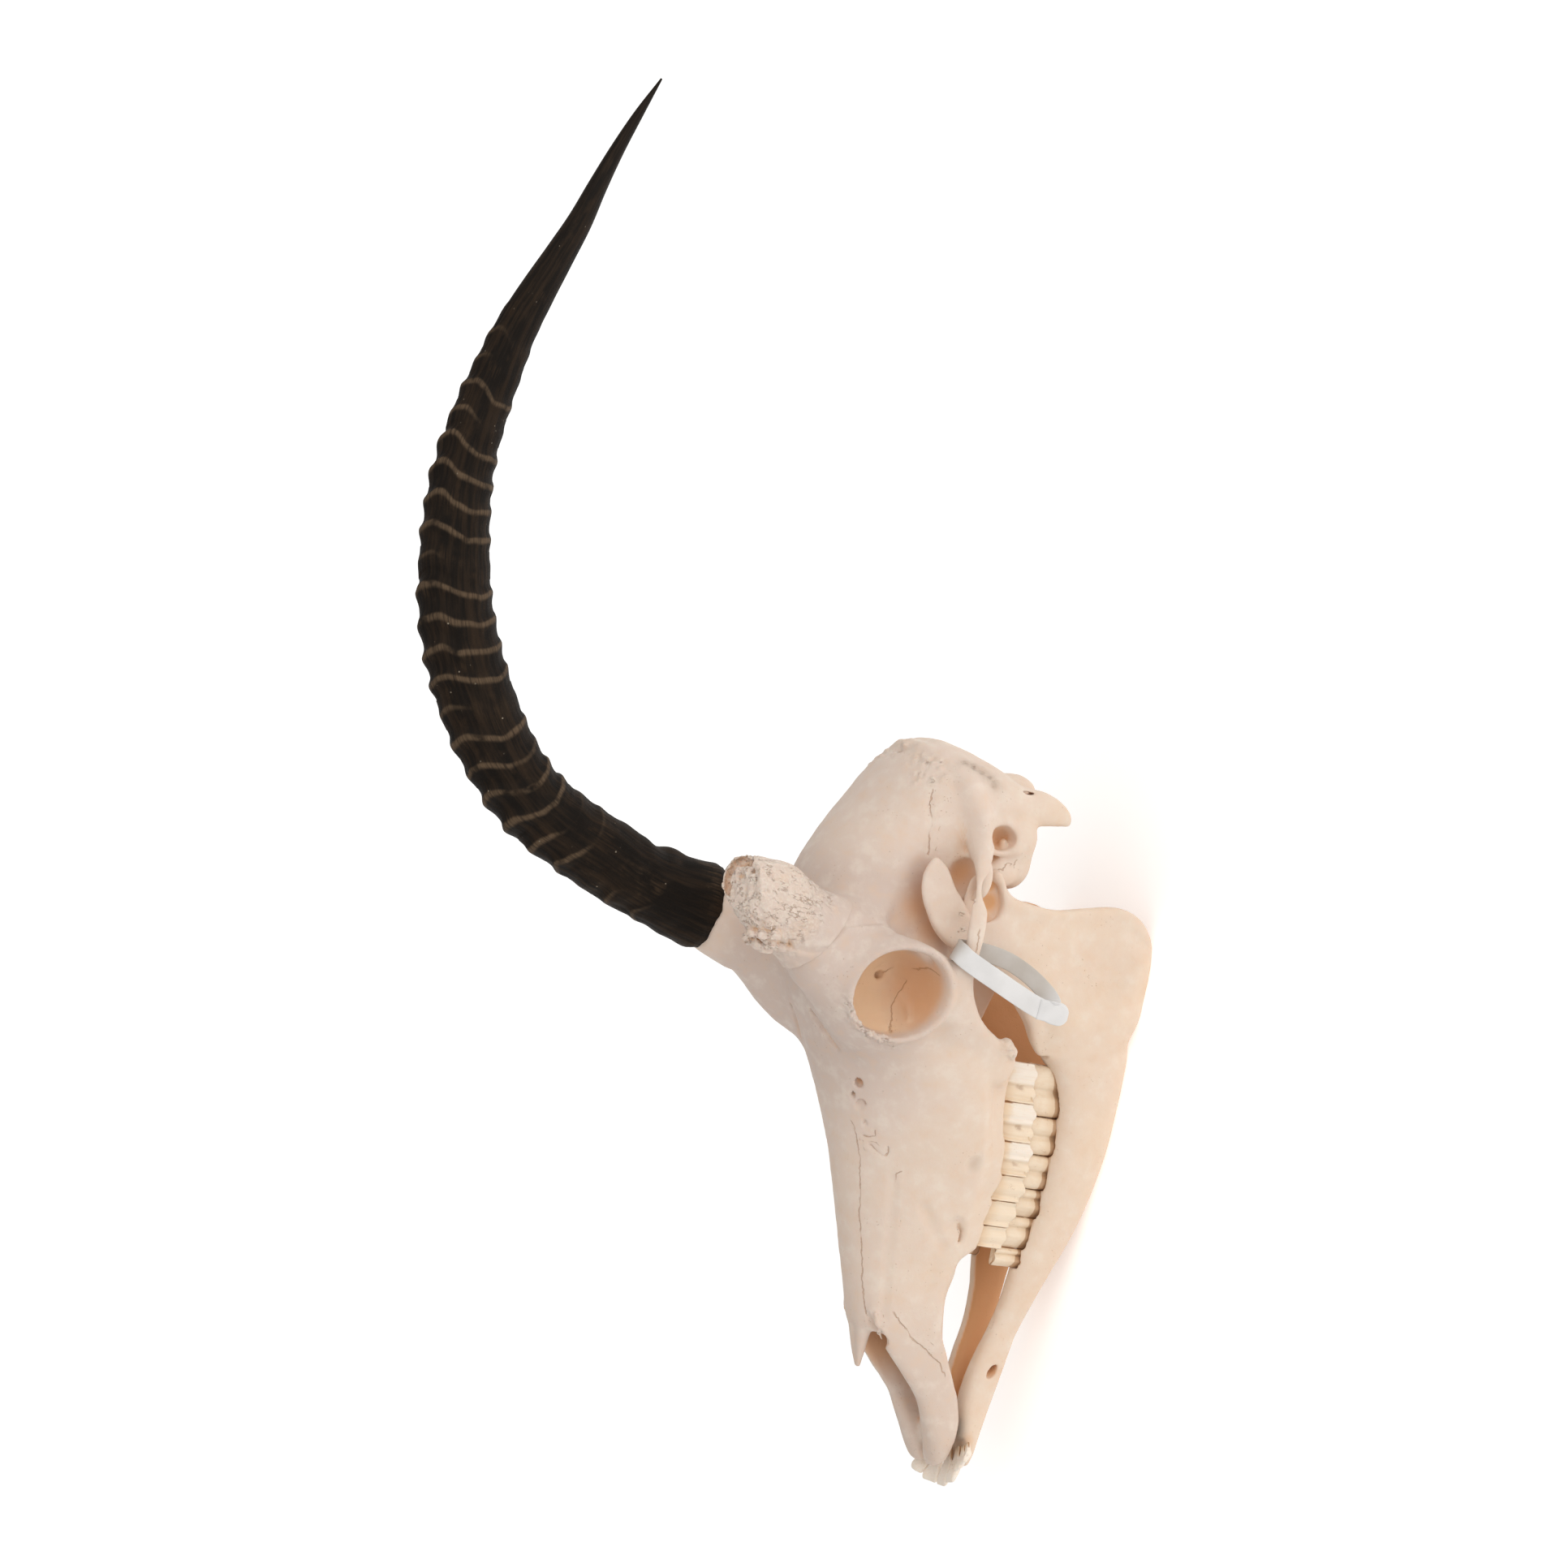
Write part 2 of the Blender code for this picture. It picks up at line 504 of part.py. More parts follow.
def horn_at(u):
    """Centre, fore-and-aft and sideways unit vectors, and width of the horn at a part u of its length."""
    line = np.array(HORN_LINE)
    steps = np.linspace(0, 1, len(line))
    spot = [np.array([np.interp(at, steps, line[:, k]) for k in range(3)]) for at in (u, max(u - 0.02, 0), min(u + 0.02, 1))]
    run = spot[2] - spot[1]
    run /= np.linalg.norm(run)
    fore = np.cross((1.0, 0, 0), run)
    fore /= np.linalg.norm(fore)
    return spot[0], fore, np.cross(run, fore), np.interp(u, steps, line[:, 3])


def horn_ring(u, scale, shrink=0.0):
    centre, fore, side, width = horn_at(u)
    return oval_ring(centre, side * (width / 2 * HORN_BREADTH * scale - shrink), fore * (width / 2 * HORN_DEPTH * scale - shrink), HORN_SIDES)


def ring_swell(u):
    """How far the growth rings stand out: strongest from an eighth to two thirds of the length."""
    return 0.05 * min(1.0, max(0.15, (u - 0.06) / 0.1)) * min(1.0, max(0.0, (0.72 - u) / 0.12))


def sheath_hollow(shrink):
    """Rings of the hollow from its mouth to its blind end, drawn in by shrink."""
    rings = []
    for u in (0.0, 0.06, 0.12, 0.18, SHEATH_SOCKET):
        taper = SHEATH_INNER * (1 - 0.30 * u / SHEATH_SOCKET)
        rings.append(horn_ring(u - (0.0015 if u == SHEATH_SOCKET and shrink else 0), taper, shrink))
    return rings


def horn_sheath():
    rings = [horn_ring(1.0, 1.0)]
    rings += [horn_ring(u, 1.0) for u in (0.97, 0.92, 0.86, 0.80, 0.75)]
    for k in range(HORN_RINGS, 0, -1):
        crest = 0.03 + 0.69 * k / HORN_RINGS
        rings.append(horn_ring(crest + 0.007, 1 + ring_swell(crest)))
        rings.append(horn_ring(crest - 0.012, 1 - ring_swell(crest)))
    rings.append(horn_ring(0.0, 1.0))
    return loft("horn_sheath", rings + sheath_hollow(0.0), HORN)


def core_rings():
    """The right pedicle, drawn in under the sheath's rim, then the core that fills the hollow."""
    foot = [ring * (-1, 1, 1) for ring in along_z(PEDICLE[:-1], HORN_SIDES)]
    mouth, fore, side, width = horn_at(0.0)
    run = np.cross(fore, side)
    below = [oval_ring(mouth - run * drop, side * (width / 2 * HORN_BREADTH * grow), fore * (width / 2 * grow), HORN_SIDES)
             for drop, grow in ((9.0, 0.98), (1.2, 0.93))]
    return in_step(foot + below + sheath_hollow(GAP))


def in_step(rings):
    """Turns each ring, or runs it the other way round, so that its points follow those of the ring before."""
    kept = [np.asarray(rings[0])]
    for ring in rings[1:]:
        local, before = ring - ring.mean(0), kept[-1] - kept[-1].mean(0)
        choices = [np.roll(way, k, 0) for way in (local, local[::-1]) for k in range(len(ring))]
        kept.append(min(choices, key=lambda turned: np.square(turned - before).sum()) + ring.mean(0))
    return kept


# Strap seal: path of the band, then its half width there
STRAP = (
    (71.6, -9.2, 136.4, 1.0), (76.4, -10.0, 133.9, 1.0), (78.4, -13.2, 127.2, 1.0), (79.4, -19.6, 114.1, 1.0),
    (80.0, -26.1, 99.2, 1.0), (80.4, -32.5, 84.4, 1.0), (80.4, -37.8, 73.4, 1.35), (79.6, -41.0, 65.2, 1.45),
    (77.0, -39.6, 61.3, 1.2), (74.4, -31.6, 65.0, 1.0), (72.2, -21.4, 75.0, 1.0), (69.4, -10.4, 89.0, 1.0),
    (67.0, -4.4, 104.0, 1.0), (65.8, -4.4, 118.0, 1.0), (66.2, -7.0, 129.6, 1.0), (68.0, -8.2, 135.4, 1.0),
)


def strap():
    path = np.array(STRAP)[:, :3]
    half = np.array(STRAP)[:, 3] * STRAP_HALF
    run = np.roll(path, -1, 0) - np.roll(path, 1, 0)
    run /= np.linalg.norm(run, axis=1)[:, None]
    across = np.array([0.0, 0.92, -0.39])
    across = across - run * (run @ across)[:, None]
    across /= np.linalg.norm(across, axis=1)[:, None]
    out = np.cross(across, run)
    rings = []
    for p, w, a, o in zip(path, half, across, out):
        t = STRAP_THICK / 2
        rings.append([p + a * w + o * t, p + a * w - o * t, p - a * w - o * t, p - a * w + o * t])
    return loft("tag_strap", rings, PLASTIC, closed=True)


# Assembly

def settle():
    """Moves every object so that the origin is the middle of the bottom of the whole."""
    bpy.context.view_layer.update()
    graph = bpy.context.evaluated_depsgraph_get()
    corners = []
    for item in bpy.context.scene.objects:
        if not item.hide_render:
            corners += [tuple(vert.co) for vert in item.evaluated_get(graph).data.vertices]
    corners = np.array(corners)
    low, high = corners.min(0), corners.max(0)
    shift = Matrix.Translation((-(low[0] + high[0]) / 2, -(low[1] + high[1]) / 2, -low[2]))
    for item in bpy.context.scene.objects:
        item.data.transform(shift)


def main():
    clear_scene()
    cranium()
    jaw_half("left_mandible", 1)
    jaw_half("right_mandible", -1)
    teeth()
    horn_sheath()
    strap()
    settle()


if __name__ == "__main__":
    main()
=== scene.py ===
"""The look of a sable antelope's skull: dry bone, teeth, one ringed horn sheath, a broken horn core and a
plastic strap tag.

Shapes are worked out in millimetres about the skull's mid-plane (x = 0), the rear corner of the jaw (y = 0)
and the plane that the skull rests on (z = 0). +X is the animal's left, -Y its nose and +Z up.
Bone is worked as clay: a block of distances on a grid, below zero inside, to which rounded forms are added
and from which hollows are cut, each with a soft join. Its skin is then found where the distance is zero.
"""

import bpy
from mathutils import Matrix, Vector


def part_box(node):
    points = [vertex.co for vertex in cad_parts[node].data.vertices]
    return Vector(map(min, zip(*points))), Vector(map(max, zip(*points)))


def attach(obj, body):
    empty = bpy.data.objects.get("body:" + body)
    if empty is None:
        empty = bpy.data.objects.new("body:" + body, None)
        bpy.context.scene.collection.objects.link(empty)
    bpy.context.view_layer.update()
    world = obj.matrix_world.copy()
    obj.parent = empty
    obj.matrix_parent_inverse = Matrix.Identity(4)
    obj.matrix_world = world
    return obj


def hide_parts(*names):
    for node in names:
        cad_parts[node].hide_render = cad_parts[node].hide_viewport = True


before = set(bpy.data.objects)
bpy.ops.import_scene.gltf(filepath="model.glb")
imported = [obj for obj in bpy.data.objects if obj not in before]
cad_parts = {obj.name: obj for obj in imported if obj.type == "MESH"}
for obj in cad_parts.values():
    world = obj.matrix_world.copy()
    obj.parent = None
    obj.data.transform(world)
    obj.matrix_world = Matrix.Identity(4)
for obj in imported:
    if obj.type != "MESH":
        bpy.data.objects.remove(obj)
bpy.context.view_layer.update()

import itertools
import math

import bpy
import numpy as np
from mathutils import Matrix, Vector
from bpy.props import FloatProperty, FloatVectorProperty, PointerProperty

bl_info = {
    "name": "Antelope skull",
    "version": (1, 0, 0),
    "blender": (4, 5, 0),
    "location": "View3D > Sidebar > Skull",
    "description": "Builds the bone, teeth, horn and strap tag of an antelope's skull",
    "category": "Add Mesh",
}

MM = 0.001
SKULL_LOW, SKULL_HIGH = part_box("cranium")
NOSE_TIP_Y = -299.0
ORIGIN = np.array([(SKULL_LOW[0] + SKULL_HIGH[0]) / 2, SKULL_LOW[1] - NOSE_TIP_Y * MM,
                   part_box("left_mandible")[0][2]])
SIDES = ((1, "left"), (-1, "right"))     # the sign of X there, and the word


# Numbers and curves

def flowing(table, at):
    """The table's columns as smooth functions of its first one: cubics through the rows, each with the
    slope that its neighbours give."""
    table = np.asarray(table, float)
    table = table[np.argsort(table[:, 0])]
    knots, rows = table[:, 0], table[:, 1:]
    slope = np.gradient(rows, knots, axis=0)
    at = np.clip(at, knots[0], knots[-1])
    k = np.clip(np.searchsorted(knots, at) - 1, 0, len(knots) - 2)
    gap = knots[k + 1] - knots[k]
    s = ((at - knots[k]) / gap)[..., None]
    gap = gap[..., None]
    value = ((1 + 2 * s) * (1 - s) ** 2 * rows[k] + s * (1 - s) ** 2 * gap * slope[k]
             + s * s * (3 - 2 * s) * rows[k + 1] + s * s * (s - 1) * gap * slope[k + 1])
    return np.moveaxis(value, -1, 0).astype(np.float32)


def level(table, at):
    """A table's first value at one place, as a plain number."""
    return float(flowing(table, np.array(at))[0])


def smooth_step(value, low, high):
    """0 below low, 1 above high, and an S-curve between."""
    t = np.clip((value - low) / (high - low), 0, 1)
    return t * t * (3 - 2 * t)


def circle(count):
    """Angles at even steps round a circle."""
    return np.arange(count) * 2 * math.pi / count


def squared(wave, power):
    """A wave from -1 to 1 with its size raised to a power: below 1, circles become rounded squares."""
    return np.sign(wave) * np.abs(wave) ** power


def unit(vector):
    """The direction of each vector, one long."""
    vector = np.asarray(vector, float)
    return vector / np.linalg.norm(vector, axis=-1, keepdims=True)


RANDOM_SIZE = 4096
CORNERS = list(itertools.product((0, 1), repeat=3))            # of a cube


def lattice(cells, seed):
    """A random number from 0 to 1 for each whole-numbered cell, the same each run."""
    values = np.random.default_rng(seed).random(RANDOM_SIZE)
    mixed = cells[..., 0] * 73856093 ^ cells[..., 1] * 19349663 ^ cells[..., 2] * 83492791
    return values[np.mod(mixed, RANDOM_SIZE)]


def noise(points, size, seed, octaves=1):
    """Soft random values from -1 to 1: random corners of cubes of that size, blended between, then the same
    at half the size and half the strength for each further octave."""
    total = np.zeros(len(points))
    strength = 1.0
    for octave in range(octaves):
        spot = points / size * 2 ** octave
        cell = np.floor(spot).astype(np.int64)
        part = spot - cell
        part = part * part * (3 - 2 * part)
        value = np.zeros(len(points))
        for corner in CORNERS:
            share = np.prod(np.where(corner, part, 1 - part), axis=1)
            value += share * lattice(cell + corner, seed + octave)
        total += strength * (2 * value - 1)
        strength /= 2
    return total


def pebbles(points, size, seed):
    """Distance to the nearest of one random point in each cube of that size, over the size."""
    cell = np.floor(points / size).astype(np.int64)
    best = np.full(len(points), 9.0)
    for corner in itertools.product((-1, 0, 1), repeat=3):
        near = cell + corner
        seat = near + np.stack([lattice(near, seed + k) for k in range(3)], 1)
        best = np.minimum(best, np.linalg.norm(points / size - seat, axis=1))
    return best


# Bone as clay

def smooth_low(a, b, blend):
    """The lower of two distances, with the join between them filled over a width of blend."""
    over = np.maximum(blend - np.abs(a - b), 0) / blend
    return np.minimum(a, b) - over * over * blend / 4


def smooth_high(a, b, blend):
    """The higher of two distances, with the edge between them rounded over a width of blend."""
    return -smooth_low(-a, -b, blend)


def section(u, v, half_u, half_v, power):
    """Distance from a superellipse: how far q = (u^p + v^p)^(1/p) is from 1, over the steepness of q."""
    u, v = np.maximum(u, 1e-4), np.maximum(v, 1e-4)
    up, vp = u ** (power - 1), v ** (power - 1)
    total = up * u + vp * v
    q = total ** (1 / power)
    steep = np.sqrt((up / half_u) ** 2 + (vp / half_v) ** 2) * q / total
    return (q - 1) / steep


FAR = 60.0                     # distance of an empty block, in millimetres
MARGIN = 4.0                   # how far past a form and its blend the block takes in its distances


class Form:
    """A rounded form: the corners of a box that holds it, and its distance function of x, y and z."""

    def __init__(self, low, high, distance):
        self.low, self.high, self.distance = np.array(low, float), np.array(high, float), distance

    def mirrored(self):
        low, high = (-self.high[0], *self.low[1:]), (-self.low[0], *self.high[1:])
        return Form(low, high, lambda x, y, z: self.distance(-x, y, z))


class Clay:
    """A block of distances on a grid, in millimetres: below zero inside the bone."""

    def __init__(self, low, high, step):
        self.low, self.step = np.array(low, float), step
        count = np.ceil((np.array(high, float) - self.low) / step).astype(int) + 1
        self.field = np.full(count, FAR, np.float32)

    def window(self, form, margin):
        """The part of the block round a form, and the places of its cells."""
        first = np.floor((form.low - margin - self.low) / self.step).astype(int)
        last = np.ceil((form.high + margin - self.low) / self.step).astype(int) + 1
        first = np.clip(first, 0, self.field.shape)
        last = np.clip(last, first, self.field.shape)
        cut = tuple(slice(a, b) for a, b in zip(first, last))
        x, y, z = (self.low[k] + self.step * np.arange(first[k], last[k], dtype=np.float32) for k in range(3))
        return cut, (x[:, None, None], y[None, :, None], z[None, None, :])

    def add(self, form, blend=3.0):
        cut, spots = self.window(form, blend + MARGIN)
        self.field[cut] = smooth_low(self.field[cut], form.distance(*spots), blend)

    def cut(self, form, blend=1.5):
        cut, spots = self.window(form, blend + MARGIN)
        self.field[cut] = smooth_high(self.field[cut], -form.distance(*spots), blend)

    def add_both(self, form, blend=3.0):
        self.add(form, blend)
        self.add(form.mirrored(), blend)

    def cut_both(self, form, blend=1.5):
        self.cut(form, blend)
        self.cut(form.mirrored(), blend)

    def fullness(self, points, reach):
        """The share of solid bone in a cube round each point: about a half on a flat face, more in a
        hollow."""
        inside = (self.field < 0).astype(np.float32)
        total = np.pad(inside, ((1, 0),) * 3).cumsum(0).cumsum(1).cumsum(2)
        middle = np.rint((points - self.low) / self.step).astype(int)
        half = max(1, int(round(reach / self.step)))
        first = np.clip(middle - half, 0, np.array(inside.shape) - 1)
        last = np.clip(middle + half + 1, 1, np.array(inside.shape))
        count = np.zeros(len(points))
        for corner in CORNERS:
            spot = np.where(corner, last, first)
            count += (-1) ** (3 - sum(corner)) * total[tuple(spot.T)]
        return count / np.prod(np.full(3, 2 * half + 1))

    def skin(self):
        """Points and four-sided faces of the surface where the distance is zero. Each grid cell that the
        surface crosses gets one point, at the middle of the crossings on the cell's edges, and each crossed
        grid edge gets one face through the four cells round it."""
        field = self.field
        inside = field < 0
        nx, ny, nz = (n - 1 for n in field.shape)
        count = sum(inside[i:nx + i, j:ny + j, k:nz + k].astype(np.uint8) for i, j, k in CORNERS)
        cells = np.argwhere((count > 0) & (count < 8))
        number = np.full((nx, ny, nz), -1, np.int32)
        number[tuple(cells.T)] = np.arange(len(cells))
        value = np.stack([field[tuple((cells + c).T)] for c in CORNERS], 1)
        total, hits = np.zeros((len(cells), 3)), np.zeros(len(cells))
        for a, b in itertools.combinations(range(8), 2):
            step = np.subtract(CORNERS[b], CORNERS[a])
            if np.abs(step).sum() != 1:
                continue
            crossed = (value[:, a] < 0) != (value[:, b] < 0)
            share = np.where(crossed, value[:, a] / np.where(crossed, value[:, a] - value[:, b], 1), 0)
            total += crossed[:, None] * (np.array(CORNERS[a]) + share[:, None] * step)
            hits += crossed
        points = self.low + self.step * (cells + total / hits[:, None])
        faces = []
        for axis in range(3):
            turned = np.moveaxis(inside, axis, 0)
            after, before = turned[1:, 1:-1, 1:-1], turned[:-1, 1:-1, 1:-1]
            near = np.moveaxis(number, axis, 0)
            around = np.stack([near[:, :-1, :-1], near[:, 1:, :-1], near[:, 1:, 1:], near[:, :-1, 1:]], -1)
            leaving, entering = around[before & ~after], around[~before & after][:, ::-1]
            if axis == 1:
                leaving, entering = leaving[:, ::-1], entering[:, ::-1]
            faces += [leaving, entering]
        return largest_piece(points, np.concatenate(faces))


def edges(faces):
    """The pairs of points along the sides of four-sided faces."""
    return np.concatenate([faces[:, [k, (k + 1) % 4]] for k in range(4)])


def largest_piece(points, faces):
    """The points and faces of the piece with the most points: each point takes the lowest number among
    those it is joined to, until nothing changes."""
    label = np.arange(len(points))
    pairs = edges(faces)
    while True:
        lowest = label.copy()
        np.minimum.at(lowest, pairs[:, 0], label[pairs[:, 1]])
        np.minimum.at(lowest, pairs[:, 1], label[pairs[:, 0]])
        lowest = lowest[lowest]
        if (lowest == label).all():
            break
        label = lowest
    kept = label == np.bincount(label).argmax()
    number = np.cumsum(kept) - 1
    return points[kept], number[faces[kept[faces[:, 0]]]]


def relaxed(points, faces, rounds=1, strength=0.5):
    """The points, each drawn part of the way to the mean of its neighbours."""
    pairs = np.unique(np.sort(edges(faces), axis=1), axis=0)
    share = np.bincount(pairs.ravel(), minlength=len(points))[:, None]
    for _ in range(rounds):
        mean = np.stack([np.bincount(pairs[:, 0], points[pairs[:, 1], k], len(points))
                         + np.bincount(pairs[:, 1], points[pairs[:, 0], k], len(points)) for k in range(3)],
                        1)
        points = points + strength * (mean / share - points)
    return points


# Forms

AXES = {"x": (0, 1, 2), "y": (1, 0, 2), "z": (2, 0, 1)}


def bar(axis, table, power=2.0, end=3.0, tilt=None):
    """A form whose section across an axis is a superellipse. Each row is the place along the axis, the middle
    and then the half width in the other two directions, and how far the section's top leans sideways. tilt is
    how far a section steps along the axis for each millimetre in the other two directions, from a point."""
    table = np.array([tuple(row) + (0.0,) * (6 - len(row)) for row in table], float)
    order = AXES[axis]
    first, last = table[:, 0].min(), table[:, 0].max()
    low, high = np.zeros(3), np.zeros(3)
    low[order[0]], high[order[0]] = first, last
    for k in (1, 2):
        spread = table[:, k + 2] + (np.abs(table[:, 5]) if k == 1 else 0)
        low[order[k]], high[order[k]] = (table[:, k] - spread).min(), (table[:, k] + spread).max()
    if tilt:
        reach = sum(abs(t) * (high[order[k + 1]] - low[order[k + 1]]) for k, t in enumerate(tilt[0]))
        low[order[0]] -= reach
        high[order[0]] += reach

    def distance(*spot):
        along, side, rise = (spot[k] for k in order)
        if tilt:
            along = along - tilt[0][0] * (side - tilt[1][0]) - tilt[0][1] * (rise - tilt[1][1])
        middle, up, wide, tall, lean = flowing(table, along)
        v = (rise - up) / tall
        u = (side - middle - lean * v) / wide
        out = section(np.abs(u), np.abs(v), wide, tall, power)
        return smooth_high(out, np.maximum(first - along, along - last), end)

    return Form(low, high, distance)


def egg(table, end=8.0):
    """A form along y whose section is two half superellipses that meet where it is widest. Each row is y,
    top, bottom, half width, height of the widest point, and the powers of the upper and the lower half."""
    table = np.array(table, float)
    first, last = table[:, 0].min(), table[:, 0].max()
    low = (-table[:, 3].max(), first, table[:, 2].min())
    high = (table[:, 3].max(), last, table[:, 1].max())

    def distance(x, y, z):
        top, bottom, wide, widest, upper, lower = flowing(table, y)
        above = z > widest
        tall = np.where(above, top - widest, widest - bottom)
        power = np.where(above, upper, lower)
        out = section(np.abs(x) / wide, np.abs(z - widest) / tall, wide, tall, power)
        return smooth_high(out, np.maximum(first - y, y - last), end)

    return Form(low, high, distance)


def rope(points, radii, flat=None, closed=False):
    """A chain of round-ended rods of changing radius. flat is a direction and how many times thinner the rods
    are along it."""
    points, radii = np.array(points, float), np.array(radii, float) * np.ones(len(points))
    if closed:
        points, radii = np.concatenate([points, points[:1]]), np.append(radii, radii[0])

    def distance(x, y, z):
        best = None
        for a, b, ra, rb in zip(points[:-1], points[1:], radii[:-1], radii[1:]):
            run = b - a
            d = [x - a[0], y - a[1], z - a[2]]
            t = np.clip(sum(c * r for c, r in zip(d, run)) / (run @ run), 0, 1)
            d = [c - t * r for c, r in zip(d, run)]
            if flat is not None:
                off = sum(c * n for c, n in zip(d, flat[0])) * (flat[1] - 1)
                d = [c + off * n for c, n in zip(d, flat[0])]
            out = np.sqrt(sum(c * c for c in d)) - (ra + t * (rb - ra))
            best = out if best is None else np.minimum(best, out)
        return best

    return Form(points.min(0) - radii.max(), points.max(0) + radii.max(), distance)


def ball(centre, radii):
    """An ellipsoid. Its distance is how far q, the length of the spot over the radii, is from 1, over the
    steepness of q."""
    centre, radii = np.array(centre, float), np.array(radii, float)

    def distance(*spot):
        local = [(c - m) / r for c, m, r in zip(spot, centre, radii)]
        q = np.sqrt(sum(c * c for c in local)) + 1e-6
        steep = np.sqrt(sum((c / r) ** 2 for c, r in zip(local, radii))) / q + 1e-6
        return (q - 1) / steep

    return Form(centre - radii, centre + radii, distance)


def blade(outline, middle, half, edge=1.5):
    """A flat form that stands across x. Its outline runs through (y, z) points. middle and half give the x of
    its middle and its half thickness at each (y, z), and edge rounds its rim."""
    outline = closed_curve(outline, 6)
    low, high = outline.min(0), outline.max(0)

    def distance(x, y, z):
        rim = outline_distance(outline, y, z)
        return smooth_high(rim, np.abs(x - middle(y, z)) - half(y, z), edge * 2)

    ys, zs = np.meshgrid(np.linspace(low[0], high[0], 9), np.linspace(low[1], high[1], 9))
    centre, thick = middle(ys, zs) + 0 * ys, half(ys, zs) + 0 * ys
    return Form(((centre - thick).min(), *low), ((centre + thick).max(), *high), distance)


def closed_curve(points, steps):
    """A smooth closed curve through points: on each stretch the cubic whose slopes at its ends are half the
    way between the neighbours."""
    p = np.array(points, float)
    before, after, beyond = np.roll(p, 1, 0), np.roll(p, -1, 0), np.roll(p, -2, 0)
    t = (np.arange(steps) / steps)[:, None, None]
    curve = 0.5 * (2 * p + (after - before) * t + (2 * before - 5 * p + 4 * after - beyond) * t ** 2
                   + (3 * p - before - 3 * after + beyond) * t ** 3)
    return curve.transpose(1, 0, 2).reshape(-1, p.shape[1])


def outline_distance(outline, u, v):
    """Signed distance in a plane from a closed outline: to its nearest side, below zero where a line to the
    right crosses an odd number of sides."""
    best = np.full(np.broadcast(u, v).shape, 1e9)
    odd = np.zeros(best.shape, bool)
    for a, b in zip(outline, np.roll(outline, -1, 0)):
        run = b - a
        t = np.clip(((u - a[0]) * run[0] + (v - a[1]) * run[1]) / (run @ run + 1e-9), 0, 1)
        best = np.minimum(best, (u - a[0] - t * run[0]) ** 2 + (v - a[1] - t * run[1]) ** 2)
        if a[1] != b[1]:
            odd ^= ((a[1] > v) != (b[1] > v)) & (u < a[0] + (v - a[1]) * run[0] / run[1])
    return (np.sqrt(best) * np.where(odd, -1, 1)).astype(np.float32)


# Meshes

def outward(points, faces):
    """The unit direction out of the surface at each point: the sum of its faces' areas."""
    sides = faces.shape[1]
    corner = [points[faces[:, c]] for c in range(sides)]
    if sides == 4:
        across = np.cross(corner[2] - corner[0], corner[3] - corner[1])
    else:
        across = np.cross(corner[1] - corner[0], corner[2] - corner[0])
    total = np.stack([sum(np.bincount(faces[:, c], across[:, k], len(points)) for c in range(sides))
                      for k in range(3)], 1)
    return unit(total + 1e-12)


def mesh_of(name, points, *face_sets):
    """A smooth mesh of points in millimetres and arrays of faces."""
    mesh = bpy.data.meshes.new(name)
    corners = np.concatenate([faces.ravel() for faces in face_sets]).astype(np.int32)
    sizes = np.concatenate([np.full(len(faces), faces.shape[1]) for faces in face_sets])
    mesh.vertices.add(len(points))
    mesh.vertices.foreach_set("co", (points * MM + ORIGIN).astype(np.float32).ravel())
    mesh.loops.add(len(corners))
    mesh.loops.foreach_set("vertex_index", corners)
    mesh.polygons.add(len(sizes))
    mesh.polygons.foreach_set("loop_start", (np.cumsum(sizes) - sizes).astype(np.int32))
    mesh.update(calc_edges=True)
    mesh.shade_smooth()
    return mesh


def points_of(mesh):
    """A mesh's points, in millimetres."""
    flat = np.empty(len(mesh.vertices) * 3, np.float32)
    mesh.vertices.foreach_get("co", flat)
    return (flat.reshape(-1, 3) - ORIGIN) / MM


def thinned(mesh, most):
    """The mesh with at most that many triangles, the fewest where it is flat."""
    triangles = 2 * len(mesh.polygons)
    if triangles <= most:
        return mesh
    item = bpy.data.objects.new("thinning", mesh)
    bpy.context.scene.collection.objects.link(item)
    step = item.modifiers.new("thin", "DECIMATE")
    step.ratio = most / triangles
    graph = bpy.context.evaluated_depsgraph_get()
    result = bpy.data.meshes.new_from_object(item.evaluated_get(graph))
    result.name = mesh.name
    bpy.data.objects.remove(item)
    result.shade_smooth()
    return result


def corners_of(mesh):
    """A mesh's faces as triangles."""
    mesh.calc_loop_triangles()
    flat = np.empty(len(mesh.loop_triangles) * 3, np.int32)
    mesh.loop_triangles.foreach_get("vertices", flat)
    return flat.reshape(-1, 3)


def mark(mesh, **values):
    """Named numbers on a mesh's points, which its material reads."""
    for name, numbers in values.items():
        spot = mesh.attributes.new(name, "FLOAT", "POINT")
        spot.data.foreach_set("value", np.broadcast_to(numbers, len(mesh.vertices)).astype(np.float32))


def put(mesh, slot, paint, *nodes):
    """Make an object of a mesh, which replaces CAD nodes, rides on the body and takes the paint. slot is not
    used.
    """
    item = bpy.data.objects.new(mesh.name, mesh)
    bpy.context.scene.collection.objects.link(item)
    mesh.materials.clear()
    mesh.materials.append(paint)
    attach(item, "root")
    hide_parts(*nodes)


def lattice_faces(rows, columns):
    """The four-sided faces between rings of points."""
    i = np.arange(rows - 1)[:, None] * columns
    j = np.arange(columns)
    k = (j + 1) % columns
    return np.stack([i + j, i + k, i + k + columns, i + j + columns], -1).reshape(-1, 4)


